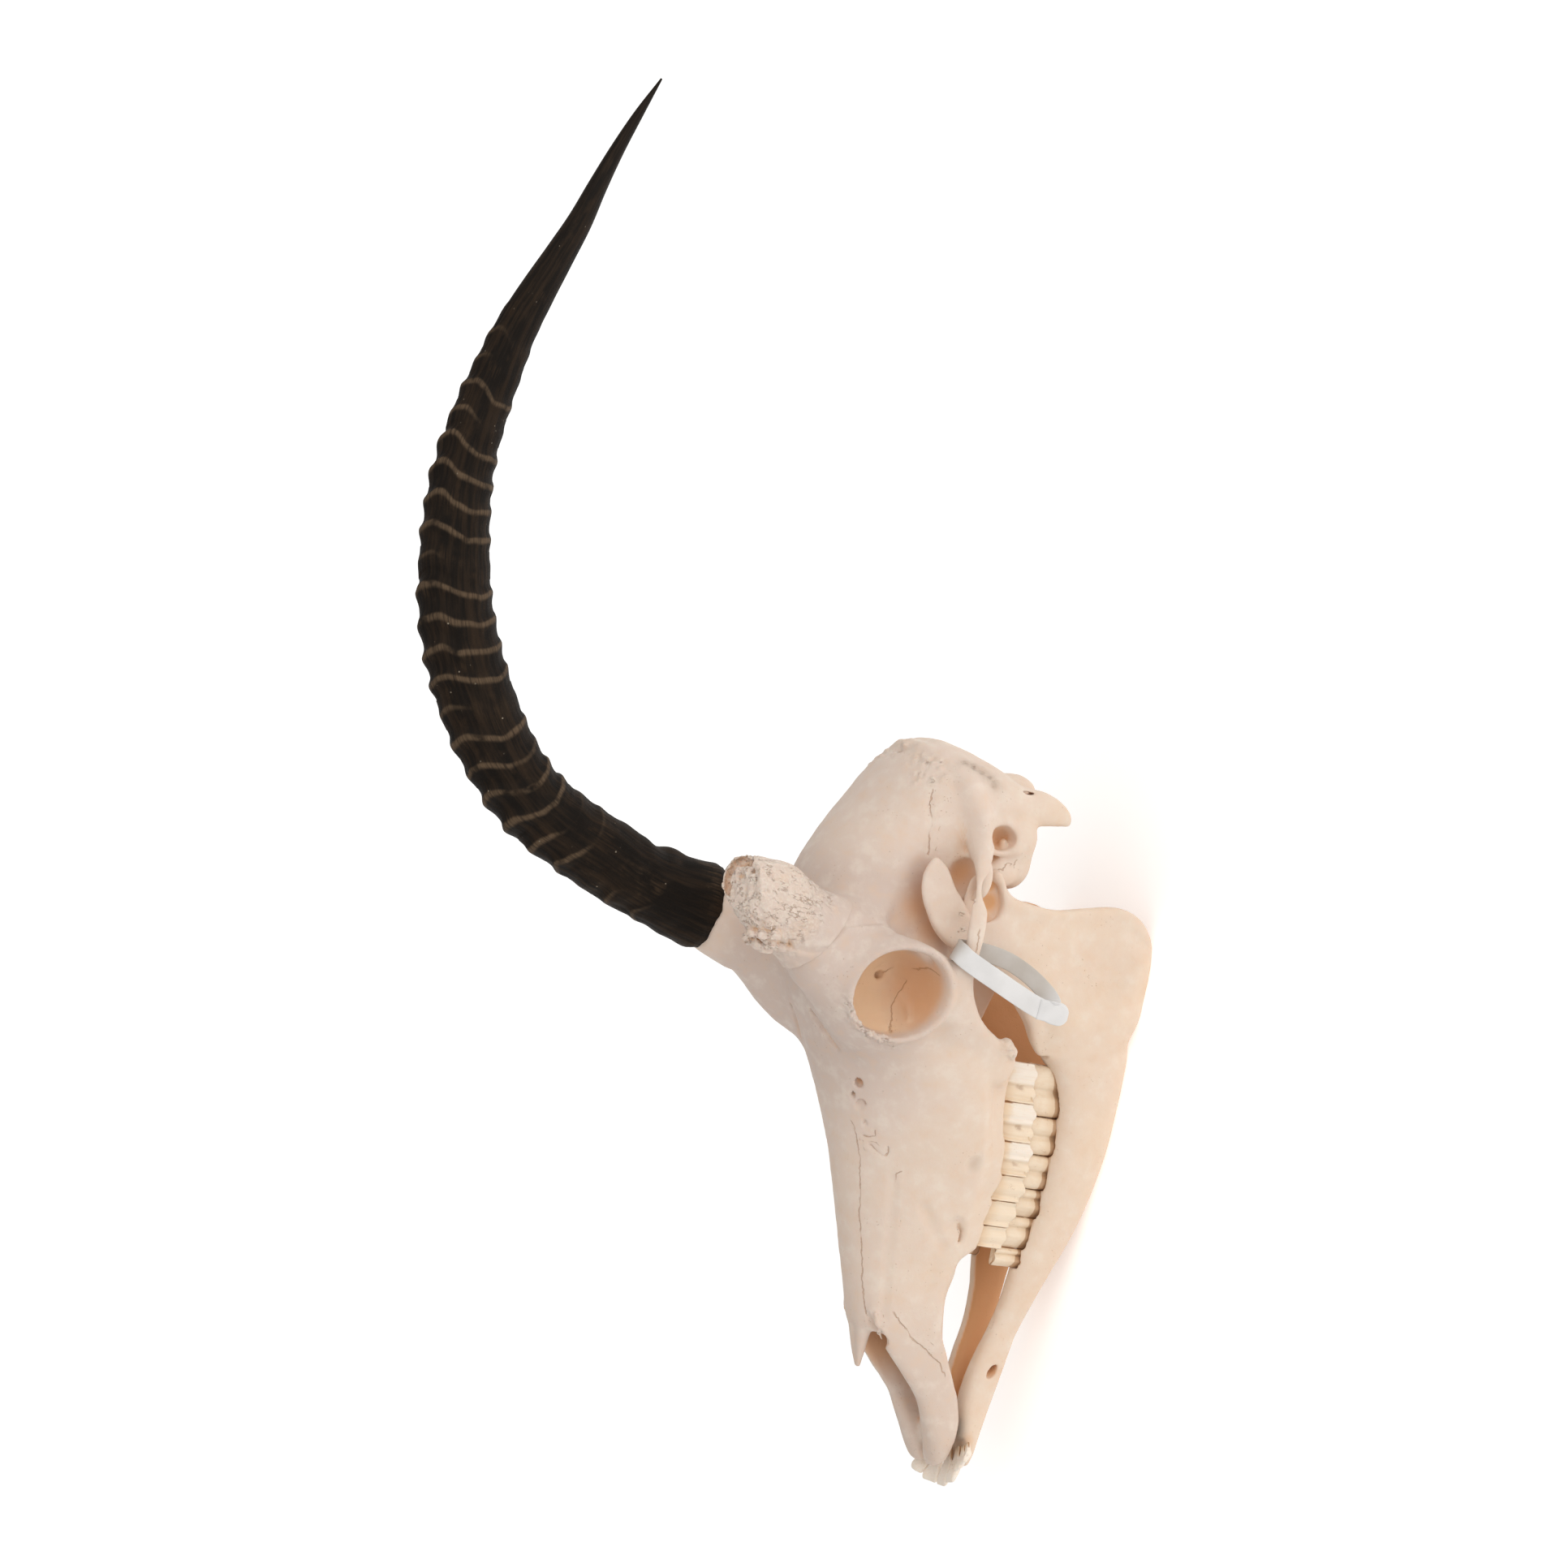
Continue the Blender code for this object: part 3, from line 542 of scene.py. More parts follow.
def tube(rings):
    """Points and faces of a closed skin through rings, shaped (rings, points, 3), with a point in the middle
    of each end."""
    rows, columns = rings.shape[:2]
    points = np.concatenate([rings.reshape(-1, 3), rings[:1].mean(1), rings[-1:].mean(1)])
    j = np.arange(columns)
    k = (j + 1) % columns
    first, last = rows * columns, rows * columns + 1
    caps = np.concatenate([np.stack([k, j, np.full(columns, first)], 1),
                           np.stack([j, k, np.full(columns, last)], 1) + [[(rows - 1) * columns] * 2 + [0]]])
    return points, *facing_out(points, lattice_faces(rows, columns), caps)


def carried(middle, side, rise, across, up):
    """Sections carried along a line: across and up are how far each one's points lie from the line's middle,
    in the line's own two directions."""
    return middle[:, None] + side[:, None] * across[..., None] + rise[:, None] * up[..., None]


def facing_out(points, quads, caps):
    """The faces, turned round if together they hold less than no space."""
    tris = np.concatenate([quads[:, [0, 1, 2]], quads[:, [0, 2, 3]], caps])
    middle = points.mean(0)
    a, b, c = (points[tris[:, k]] - middle for k in range(3))
    if np.einsum("ij,ij->", a, np.cross(b, c)) < 0:
        return quads[:, ::-1], caps[:, ::-1]
    return quads, caps


LINE_REACH = 6.0               # how far from a line the distance to it is worked out
LINE_DEPTH = 5.0               # how far over or under the surface a line still counts as on it


def line_reach(points, normals, lines):
    """For cracks and sutures: the signed distance over the surface from the nearest of the lines, and 1 where
    that line really passes, 0 beyond its ends."""
    best, signed = np.full(len(points), LINE_REACH), np.full(len(points), LINE_REACH)
    passing = np.zeros(len(points))
    for line in lines:
        line = np.array(line, float)
        near = ((points > line.min(0) - LINE_REACH) & (points < line.max(0) + LINE_REACH)).all(1).nonzero()[0]
        spots, up = points[near], normals[near]
        for n, (a, b) in enumerate(zip(line[:-1], line[1:])):
            run = b - a
            t = (spots - a) @ run / (run @ run)
            off = spots - a - np.clip(t, 0, 1)[:, None] * run
            rise = np.einsum("ij,ij->i", off, up)
            off = off - rise[:, None] * up
            far = np.linalg.norm(off, axis=1) + np.maximum(np.abs(rise) - LINE_DEPTH, 0)
            side = np.einsum("ij,ij->i", np.cross(run, up), off)
            closer = far < best[near]
            best[near[closer]] = far[closer]
            signed[near[closer]] = (far * np.where(side < 0, -1, 1))[closer]
            ends = ((n > 0) | (t > 0)) & ((n < len(line) - 2) | (t < 1))
            passing[near[closer]] = ends[closer]
    return signed, passing * (best < LINE_REACH * 0.7)


def patches(points, spots):
    """1 in the middle of round patches, falling off smoothly: each spot is (x, y, z, radius)."""
    total = np.zeros(len(points))
    for *middle, radius in spots:
        far = np.linalg.norm(points - middle, axis=1) / radius
        total = np.maximum(total, np.exp(-2 * np.square(far)))
    return total


# Cranium, with the solid's sizes. FACE has the rows that egg takes, the other forms have bar's
FACE = (
    (-228, 120.0, 78, 21.0, 94, 2.2, 3.0),
    (-208, 126.0, 76, 25.0, 92, 2.2, 3.2),
    (-189, 132.0, 71, 28.5, 90, 2.2, 3.4),
    (-174, 136.5, 72, 32.5, 88, 2.2, 3.2),
    (-152, 143.0, 72, 40.0, 87, 2.1, 3.0),
    (-132, 149.5, 73, 46.5, 88, 2.0, 3.0),
    (-114, 156.5, 75, 52.0, 91, 2.0, 3.0),
    (-97, 164.0, 79, 56.0, 97, 2.0, 3.0),
    (-81, 172.5, 83, 58.5, 106, 2.0, 3.0),
    (-67, 181.0, 88, 59.0, 119, 2.0, 2.8),
    (-53, 190.0, 97, 56.0, 137, 2.1, 2.4),
    (-37, 197.5, 106, 52.0, 152, 2.2, 2.2),
    (-19, 202.0, 104, 48.0, 155, 2.2, 2.2),
    (1, 203.0, 98, 46.0, 151, 2.1, 2.2),
    (22, 199.0, 93, 46.5, 146, 2.1, 2.2),
    (42, 188.5, 89, 48.5, 136, 2.1, 2.3),
    (60, 176.5, 86, 51.0, 127, 2.1, 2.4),
    (76, 165.5, 86, 51.0, 122, 2.1, 2.4),
    (87, 157.0, 94, 45.0, 122, 2.1, 2.4),
    (95, 148.6, 110, 30.0, 131, 2.2, 2.4),
    (101, 142.0, 127, 15.0, 136, 2.2, 2.4),
)
PREMAXILLA = (
    (-192, 19.0, 98.0, 5.0, 18.0, -5.0),
    (-212, 19.5, 98.5, 4.6, 20.5, -5.0),
    (-222, 19.6, 97.0, 4.4, 20.5, -4.5),
    (-235, 19.6, 88.0, 4.2, 18.0, -2.8),
    (-247, 19.4, 78.8, 4.4, 15.8, -1.2),
    (-261, 17.6, 68.0, 5.6, 13.0, -0.4),
    (-275, 15.0, 62.0, 7.4, 11.0, 0.0),
    (-287, 12.0, 59.5, 8.6, 7.6, 0.0),
    (-295, 9.4, 58.5, 7.4, 4.6, 0.0),
    (-299, 8.0, 58.5, 4.2, 2.4, 0.0),
)
PALATE = ((-180, 0, 78, 24, 5), (-206, 0, 77, 21, 3.6), (-233, 0, 71, 18, 3), (-257, 0, 61, 15, 3),
          (-276, 0, 57, 11, 2.8))
NASAL_TIP = ((-215, 0, 114.4, 13.4, 7.6), (-222, 0, 114.4, 10.8, 5.8), (-228, 0, 114.4, 8.6, 4.4),
             (-240, 0, 113.4, 5.6, 2.6), (-249.5, 0, 111.9, 2.0, 1.2))
ARCH = (
    (-80, 49.0, 100.0, 8.0, 20.0),
    (-63, 54.0, 106.0, 8.0, 26.0),
    (-47, 62.5, 123.5, 7.5, 15.0),
    (-33, 67.5, 130.0, 6.0, 10.0),
    (-19, 71.0, 131.2, 4.4, 7.0),
    (-9, 71.5, 128.0, 3.2, 4.6),
    (1, 71.6, 128.3, 3.0, 5.7),
    (12, 71.0, 129.4, 3.2, 6.9),
    (22, 69.0, 131.0, 3.4, 5.2),
    (31, 66.2, 129.6, 4.2, 4.2),
    (42, 60.0, 126.5, 7.0, 6.0),
    (54, 52.5, 124.0, 8.0, 9.0),
    (68, 49.0, 127.0, 7.0, 10.0),
    (82, 46.0, 132.0, 5.0, 8.0),
)
GLENOID = ((40, 33, 125, 17, 10), (52, 31, 121.5, 14, 8), (62, 30, 122.5, 9, 6))
ALVEOLUS = (
    (-61, 38.0, 85.6, 9.0, 9.6),
    (-72, 37.5, 84.5, 11.4, 10.6),
    (-90, 36.6, 83.0, 11.6, 10.0),
    (-111, 34.4, 78.0, 11.2, 10.8),
    (-130, 31.8, 74.0, 10.4, 11.0),
    (-145, 29.0, 74.5, 9.6, 10.2),
    (-160, 26.8, 75.6, 8.6, 10.4),
    (-173.5, 25.2, 77.2, 7.6, 9.8),
    (-181, 24.4, 82.5, 6.0, 6.0),
    (-194, 23.0, 85.0, 4.0, 4.0),
)
PEDICLE = (
    (172, 35.0, -26.0, 26.0, 32.0),
    (192, 37.0, -24.0, 24.0, 31.5),
    (208, 39.5, -18.0, 22.0, 27.5),
    (219, 41.3, -11.5, 20.0, 25.4),
)
STUMP = (
    (231, 42.6, -3.5, 19.6, 23.6),
    (244, 43.8, 0.0, 17.4, 21.4),
    (253, 44.6, 3.0, 15.6, 18.4),
    (261, 45.2, 6.5, 12.6, 14.0),
    (267, 45.4, 9.5, 8.0, 8.0),
)
# Planes that the left core is broken along and that its rough part starts at: a point and a direction
BREAK, BREAK_WAY = (45.0, 6.0, 261.5), (0.34, 0.06, 0.93)
CORE_FOOT, CORE_FOOT_WAY = (50, -8, 201.5), (0.0, 0.6, 0.8)
RIGHT_CORE = (
    (206, -40.5, -16.8, 22.3, 27.2),
    (216, -41.3, -15.3, 20.9, 25.4),
    (223.5, -41.6, -14, 20, 24),
    (231, -42, -12.5, 18.6, 22.4),
    (250, -43.4, -9, 15.0, 18.2),
    (288, -46, 1, 11, 13),
)
LEFT_CORE = ((210, 39.7, -17.4, 21.4, 26.8), (226, 42, -7, 17.5, 21.5), (240, 43.5, -1, 13, 16))
ORBIT = (67.0, -38.0, 163.6)
ORBIT_LEAN = (0.27, -0.22)
ORBIT_RIM = (24.0, 25.0)       # half opening along y and z
ORBIT_WALL = 4.0               # thickness of the orbit's wall at its rim
RIM_POINTS = 24
SOCKET = 8.0                   # depth of the tooth sockets
SHEATH_SOCKET = 0.24           # part of the sheath's length that is hollow
SHEATH_INNER = 0.82            # its hollow's radius over the outer radius
HORN_DEPTH = 1.0               # fore-and-aft thickness over the listed width
HORN_BREADTH = 0.84            # side-to-side thickness over the listed width
STRAP_HALF = 5.7
STRAP_THICK = 1.2
# Sutures, cracks and furrows of the left side, as points on the bone
NASAL_SUTURE = ((17.7, -112.3, 153.6), (19.2, -119.0, 149.8), (19.4, -127.0, 146.4), (18.2, -138.4, 142.6),
                (14.3, -165.6, 135.3), (13.6, -181.1, 130.6), (11.5, -207.3, 123.2), (12.6, -219.4, 119.0))
PREMAXILLA_CRACKS = (((35.6, -134.2, 126.0), (33.0, -137.5, 128.1), (31.1, -145.1, 127.3)),
                     ((21.8, -213.0, 109.0), (21.9, -216.5, 105.8), (23.5, -227.0, 95.2),
                     (24.4, -232.2, 85.2), (24.2, -239.3, 75.1), (23.4, -245.8, 69.5)))
ARC_STEPS = (((23.2, -119.7, 147.3), (25.8, -120.6, 145.0), (28.7, -118.9, 143.3), (30.0, -115.6, 144.1)),
             ((25.2, -123.7, 144.0), (27.8, -127.1, 140.0), (30.7, -129.5, 135.7), (32.5, -126.8, 135.2),
              (33.0, -123.7, 136.3)))
SQUAMOSAL_CRACK = ((40.8, 73.3, 151.4), (42.3, 65.2, 153.3), (45.4, 56.2, 151.8), (46.3, 45.2, 151.5),
                   (45.3, 37.4, 149.7))
ORBIT_CRACKS = (((35.6, -31.5, 144.1), (34.1, -36.6, 145.0), (32.9, -39.9, 146.4), (33.2, -45.7, 149.2),
                 (36.4, -50.2, 150.6), (42.6, -55.8, 153.4), (50.9, -61.8, 157.6)),
                ((24.7, -31.3, 155.0), (29.6, -25.1, 148.9), (42.6, -24.7, 143.9), (54.7, -22.5, 143.1),
                 (66.0, -25.0, 142.2)))
ARCH_CRACK = ((74.6, 3.2, 127.4), (74.7, -3.8, 127.3), (74.8, -10.2, 127.5))
BULLA_CRACKS = (((47.5, 39.7, 103.1), (50.5, 36.5, 106.0), (53.0, 36.0, 110.0)),
                ((50.0, 44.0, 98.5), (49.0, 39.0, 99.5)))
CORE_LIP = ((53.6, -23.3, 243.2), (52.0, -23.3, 235.4), (53.3, -23.6, 229.6), (57.1, -24.3, 224.5),
            (59.6, -24.6, 217.4), (61.5, -22.6, 212.0))
PEDICLE_LIP = ((60.4, -24.8, 214.2), (61.8, -20.3, 209.7), (61.4, -14.4, 205.8), (58.6, -7.9, 199.4),
               (56.3, -5.6, 188.8), (55.0, -3.9, 179.7))
PALATE_SUTURE = ((0, -276, 54), (0, -233, 68), (0, -206, 73.4), (0, -180, 73), (0, -130, 73.5), (0, -70, 88))


# Lower jaw, with the solid's sizes: y, x, bottom, top and half width of its body
JAW = (
    (-12, 46.5, 1.0, 36.8, 4.0),
    (-28, 45.0, 3.4, 53.3, 6.2),
    (-44, 42.5, 2.2, 60.9, 8.4),
    (-58, 40.0, -0.7, 56.0, 10.0),
    (-70, 38.6, -0.9, 45.0, 10.8),
    (-87, 36.8, -0.9, 37.5, 11.0),
    (-109, 34.2, -0.7, 34.6, 10.6),
    (-130, 31.2, 1.4, 34.1, 9.8),
    (-150, 28.0, 4.6, 33.6, 8.8),
    (-168, 24.6, 9.0, 35.9, 7.8),
    (-183, 21.5, 13.6, 37.4, 7.0),
    (-200, 17.4, 18.4, 37.6, 6.4),
    (-218, 13.8, 22.8, 40.4, 6.2),
    (-238, 11.2, 26.0, 45.4, 6.6),
    (-258, 9.8, 29.6, 48.4, 7.6),
    (-274, 9.9, 34.0, 48.0, 9.2),
    (-288, 10.4, 37.8, 46.9, 10.2),
    (-296.5, 10.2, 40.4, 46.0, 9.6),
)
CONDYLE = ((39, 31, 108.6, 2.4, 2.6), (43, 32, 109.2, 4.4, 3.8), (48, 32.8, 109.6, 4.6, 4.0),
           (51.5, 32.8, 109.8, 3.4, 3.2), (54, 32.4, 110, 1.6, 1.8))


# Teeth, with the solid's sizes: y, x of the outer face and width, then y and height of the gum and the bite
UPPER_ROW = ((-60, 45.6, 14.5), (-90, 45.2, 15.5), (-111, 43.0, 15.0), (-130, 39.8, 13.5), (-145, 36.2, 12.0),
             (-160, 32.8, 10.5), (-172, 30.8, 9.5))
LOWER_ROW = ((-62, 41.2, 9.5), (-87, 39.6, 10.0), (-109, 37.4, 9.8), (-130, 34.2, 9.0), (-150, 30.6, 8.2),
             (-170, 27.0, 7.2), (-184, 24.8, 6.5))
UPPER_GUM = ((-60, 74.8), (-90, 74), (-111, 67.8), (-130, 63.6), (-145, 65), (-160, 65.7), (-173, 66.4))
LOWER_GUM = ((-62, 48.6), (-72, 43.2), (-87, 38.3), (-109, 35.3), (-117, 33.8), (-135, 35.3), (-151, 34.3),
             (-170, 36.5), (-184, 39.5))
BITE = ((-60, 59.4), (-87, 54.3), (-109, 50.4), (-129, 47.7), (-143, 47.5), (-159, 49.4), (-176, 51.5))
# Each cheek tooth's name, and the y of its rear and its front
UPPER_TEETH = (("molar_3", -66.4, -88.6), ("molar_2", -89.0, -110.5), ("molar_1", -110.9, -129.6),
               ("premolar_4", -130.0, -144.5), ("premolar_3", -144.9, -159.2), ("premolar_2", -159.6, -171.6))
LOWER_TEETH = (("molar_3", -66.6, -95.2), ("molar_2", -95.6, -116.7), ("molar_1", -117.1, -136.2),
               ("premolar_4", -136.6, -152.6), ("premolar_3", -153.0, -170.8), ("premolar_2", -171.2, -182.0))
INCISOR_SIDES = 28
# x, turn to the side in degrees and half width of each incisor
INCISORS = ((5.5, 3, 5.4), (14.2, 14, 4.6), (19.8, 28, 3.4), (23.6, 42, 2.8))


# Horn: x, y, z and width of the sheath at even steps from its base to its tip
HORN_LINE = ((-42.0, -12.3, 232.3, 48.6), (-43.8, -7.6, 257.0, 44.6), (-45.7, -0.5, 280.3, 41.8),
             (-47.5, 9.0, 302.6, 41.2), (-49.3, 18.3, 324.6, 41.2), (-51.2, 29.9, 344.8, 41.4),
             (-53.0, 45.7, 361.6, 41.6), (-54.8, 63.6, 375.8, 42.6), (-56.7, 83.0, 387.4, 42.8),
             (-58.5, 103.2, 397.0, 42.6), (-60.3, 124.3, 404.1, 41.2), (-62.2, 146.2, 408.2, 39.2),
             (-64.0, 168.3, 410.6, 37.2), (-65.7, 190.4, 411.4, 34.8), (-67.3, 212.5, 409.4, 32.0),
             (-69.0, 234.6, 405.0, 29.6), (-70.7, 256.8, 399.1, 26.8), (-72.3, 279.0, 392.4, 23.6),
             (-74.0, 300.6, 383.4, 20.4), (-75.4, 322.1, 373.8, 17.2), (-76.8, 343.7, 364.4, 14.2),
             (-78.2, 365.9, 356.6, 11.0), (-79.2, 388.0, 348.3, 8.2), (-79.6, 409.8, 339.2, 5.4),
             (-80.0, 431.3, 329.3, 1.2))

# Strap: path of the band, then how much wider than usual it is there
STRAP = ((71.6, -9.6, 138.2, 1.0), (75.8, -11.0, 137.6, 1.0), (78.0, -13.9, 133.8, 1.0),
         (79.0, -18.4, 124.0, 1.0), (79.6, -23.0, 113.0, 1.0), (80.1, -28.0, 101.0, 1.0),
         (80.4, -32.6, 89.0, 1.0), (80.3, -34.4, 81.5, 1.0), (79.3, -33.2, 77.2, 0.98),
         (77.3, -30.0, 76.2, 0.92), (74.8, -25.4, 79.0, 0.88), (71.0, -18.2, 88.0, 0.86),
         (68.4, -12.2, 100.6, 0.86), (66.4, -9.4, 114.0, 0.88), (65.8, -9.2, 126.0, 0.92),
         (67.6, -9.2, 135.2, 0.96))
LOCK_FROM, LOCK_TO = (80.7, -34.2, 86.0), (81.0, -36.0, 66.5)
LOCK_HALF, LOCK_THICK = 6.4, 2.4
STRAP_SIDES = 24


# The cranium

def orbit_form(rows, end):
    """A form square to the left orbit's rim. Each row is how far it lies out from the rim, how far its middle
    is off the rim's middle along y and z, and its half sizes along y and z."""
    rows = [(*(m + off for m, off in zip(ORBIT, row)), *row[3:]) for row in rows]
    return bar("x", rows, 2.1, end, (ORBIT_LEAN, ORBIT[1:]))


def orbit_edge(reach, out, a):
    """Points at angles round the left orbit's rim, reach millimetres beyond its opening and out from its
    plane."""
    dy, dz = (ORBIT_RIM[0] + reach) * np.cos(a), (ORBIT_RIM[1] + reach) * np.sin(a)
    return np.stack([ORBIT[0] + out + ORBIT_LEAN[0] * dy + ORBIT_LEAN[1] * dz, ORBIT[1] + dy, ORBIT[2] + dz],
                    1)


def beyond(point, direction, low, high):
    """All that lies beyond a plane through a point, within a box."""
    way = unit(direction)

    def distance(x, y, z):
        return -sum((c - p) * w for c, p, w in zip((x, y, z), point, way))

    return Form(low, high, distance)


def face_and_braincase(clay):
    """The face, palate, nose tip, tooth rows, horn pedicles, orbits and cheek arches."""
    clay.add(egg(FACE), 1)
    clay.add_both(bar("y", PREMAXILLA, 2.4), 3)
    clay.add(bar("y", PALATE, 3.0), 3)
    clay.add_both(bar("y", [(y, 5.6 * w / 13.4, z, w * 0.56, h) for y, _, z, w, h in NASAL_TIP], 2.2, 1.5),
                  1.5)
    clay.add_both(bar("y", ALVEOLUS, 3.0, 5.0), 6)
    clay.add_both(bar("z", PEDICLE, 2.0, 6.0), 14)
    ry, rz = ORBIT_RIM
    rows = ((-40, -2, -14, ry + 6, rz + 8), (-16, -2, -4, ry + 9, rz + 11),
            (-6, 0, 0, ry + ORBIT_WALL + 2, rz + ORBIT_WALL + 2),
            (0, 0, 0, ry + ORBIT_WALL - 1.5, rz + ORBIT_WALL - 1.5))
    clay.add_both(orbit_form(rows, 4.0), 12)
    clay.add_both(bar("y", ARCH, 2.3, 5.0), 5)
    clay.add_both(bar("x", GLENOID, 2.4, 4.0), 5)
    turn = circle(RIM_POINTS)
    rim = orbit_edge(1.6, -1.2, turn)
    clay.add_both(rope(rim, 1.7 - 0.5 * np.sin(turn) - 0.2 * np.cos(turn), closed=True), 4)


def rear_and_base(clay):
    """The bullae, condyles, crests, ear rings and the wings beside the throat."""
    clay.add_both(ball((37, 41, 95), (12.5, 15, 12.5)), 3)
    clay.add_both(ball((42, 55, 98.6), (13.5, 15, 14.6)), 6)
    process = ((112, 42, 75, 10, 10), (104, 42, 74, 9.6, 10.4), (92, 43, 73, 7.5, 10), (84, 44, 73, 5.6, 9.6),
               (76, 44.5, 72.4, 4.2, 7.9), (70, 45, 71.2, 3.2, 5.9), (66, 45, 69.6, 2.4, 3.9),
               (63.6, 45, 68.4, 1.2, 1.6))
    clay.add_both(bar("z", process, 2.2, 2.5), 5)
    clay.add_both(ball((24, 81.5, 93), (12, 8.2, 13.5)), 2)
    clay.add_both(ball((12, 72, 90), (10, 12, 8)), 3)
    base = ((84, 0, 92, 12, 7), (60, 0, 91.5, 13, 6.5), (40, 0, 92, 15, 7), (10, 0, 96, 14, 8),
            (-20, 0, 99, 12, 8))
    clay.add(bar("y", base, 2.6, 4), 5)
    clay.add_both(ball((7.5, 36, 85.5), (5, 8, 3.4)), 3)
    temporal = ((37.6, 84.6, 134.4), (49.6, 77.0, 133.1), (56.2, 65.9, 127.9), (59.2, 56.0, 125.0),
                (64.0, 44.0, 126.8), (65.7, 36.0, 128.0))
    clay.add_both(rope(temporal, (3.4, 3.2, 3.0, 2.8, 3.0, 3.2)), 6)
    nuchal = ((0, 94.6, 147.5), (12, 95.0, 147.0), (26, 90.5, 141.0), (37.6, 84.4, 134.5), (43.5, 77.5, 122),
              (45.5, 75, 110))
    clay.add_both(rope(nuchal, (2.8, 2.8, 2.7, 2.7, 2.5, 2.2)), 5)
    clay.add(rope([(0, 94.4, 147), (0, 94.6, 136), (0, 91, 124)], (2.6, 2.8, 1.4)), 5)
    ear = [(52.5 + 0.8 * math.cos(3 * a), 53.5 + (8.6 + 0.5 * math.sin(3 * a + 1)) * math.cos(a),
            110.0 + (9.9 + 0.6 * math.cos(2 * a)) * math.sin(a)) for a in np.arange(12) * math.pi / 6]
    clay.add_both(rope(ear, np.tile((2.2, 1.6, 1.9, 1.4), 3), closed=True), 5)
    clay.add_both(ball((45.5, 34.5, 104.5), (7.5, 8.5, 9.5)), 4)
    clay.add_both(rope([(46, 66, 124), (48, 69, 114), (47, 72, 104)], (4, 4.4, 4.4)), 6)
    wings = ((-60, 90), (-40, 97), (-10, 101), (14, 96), (8, 84), (-6, 76), (-22, 73), (-34, 76), (-50, 82))
    clay.add_both(blade(wings, lambda y, z: 15.5 + 0.03 * (z - 90) + 0 * y, lambda y, z: 1.5 + 0 * y * z,
                        1.2), 3)


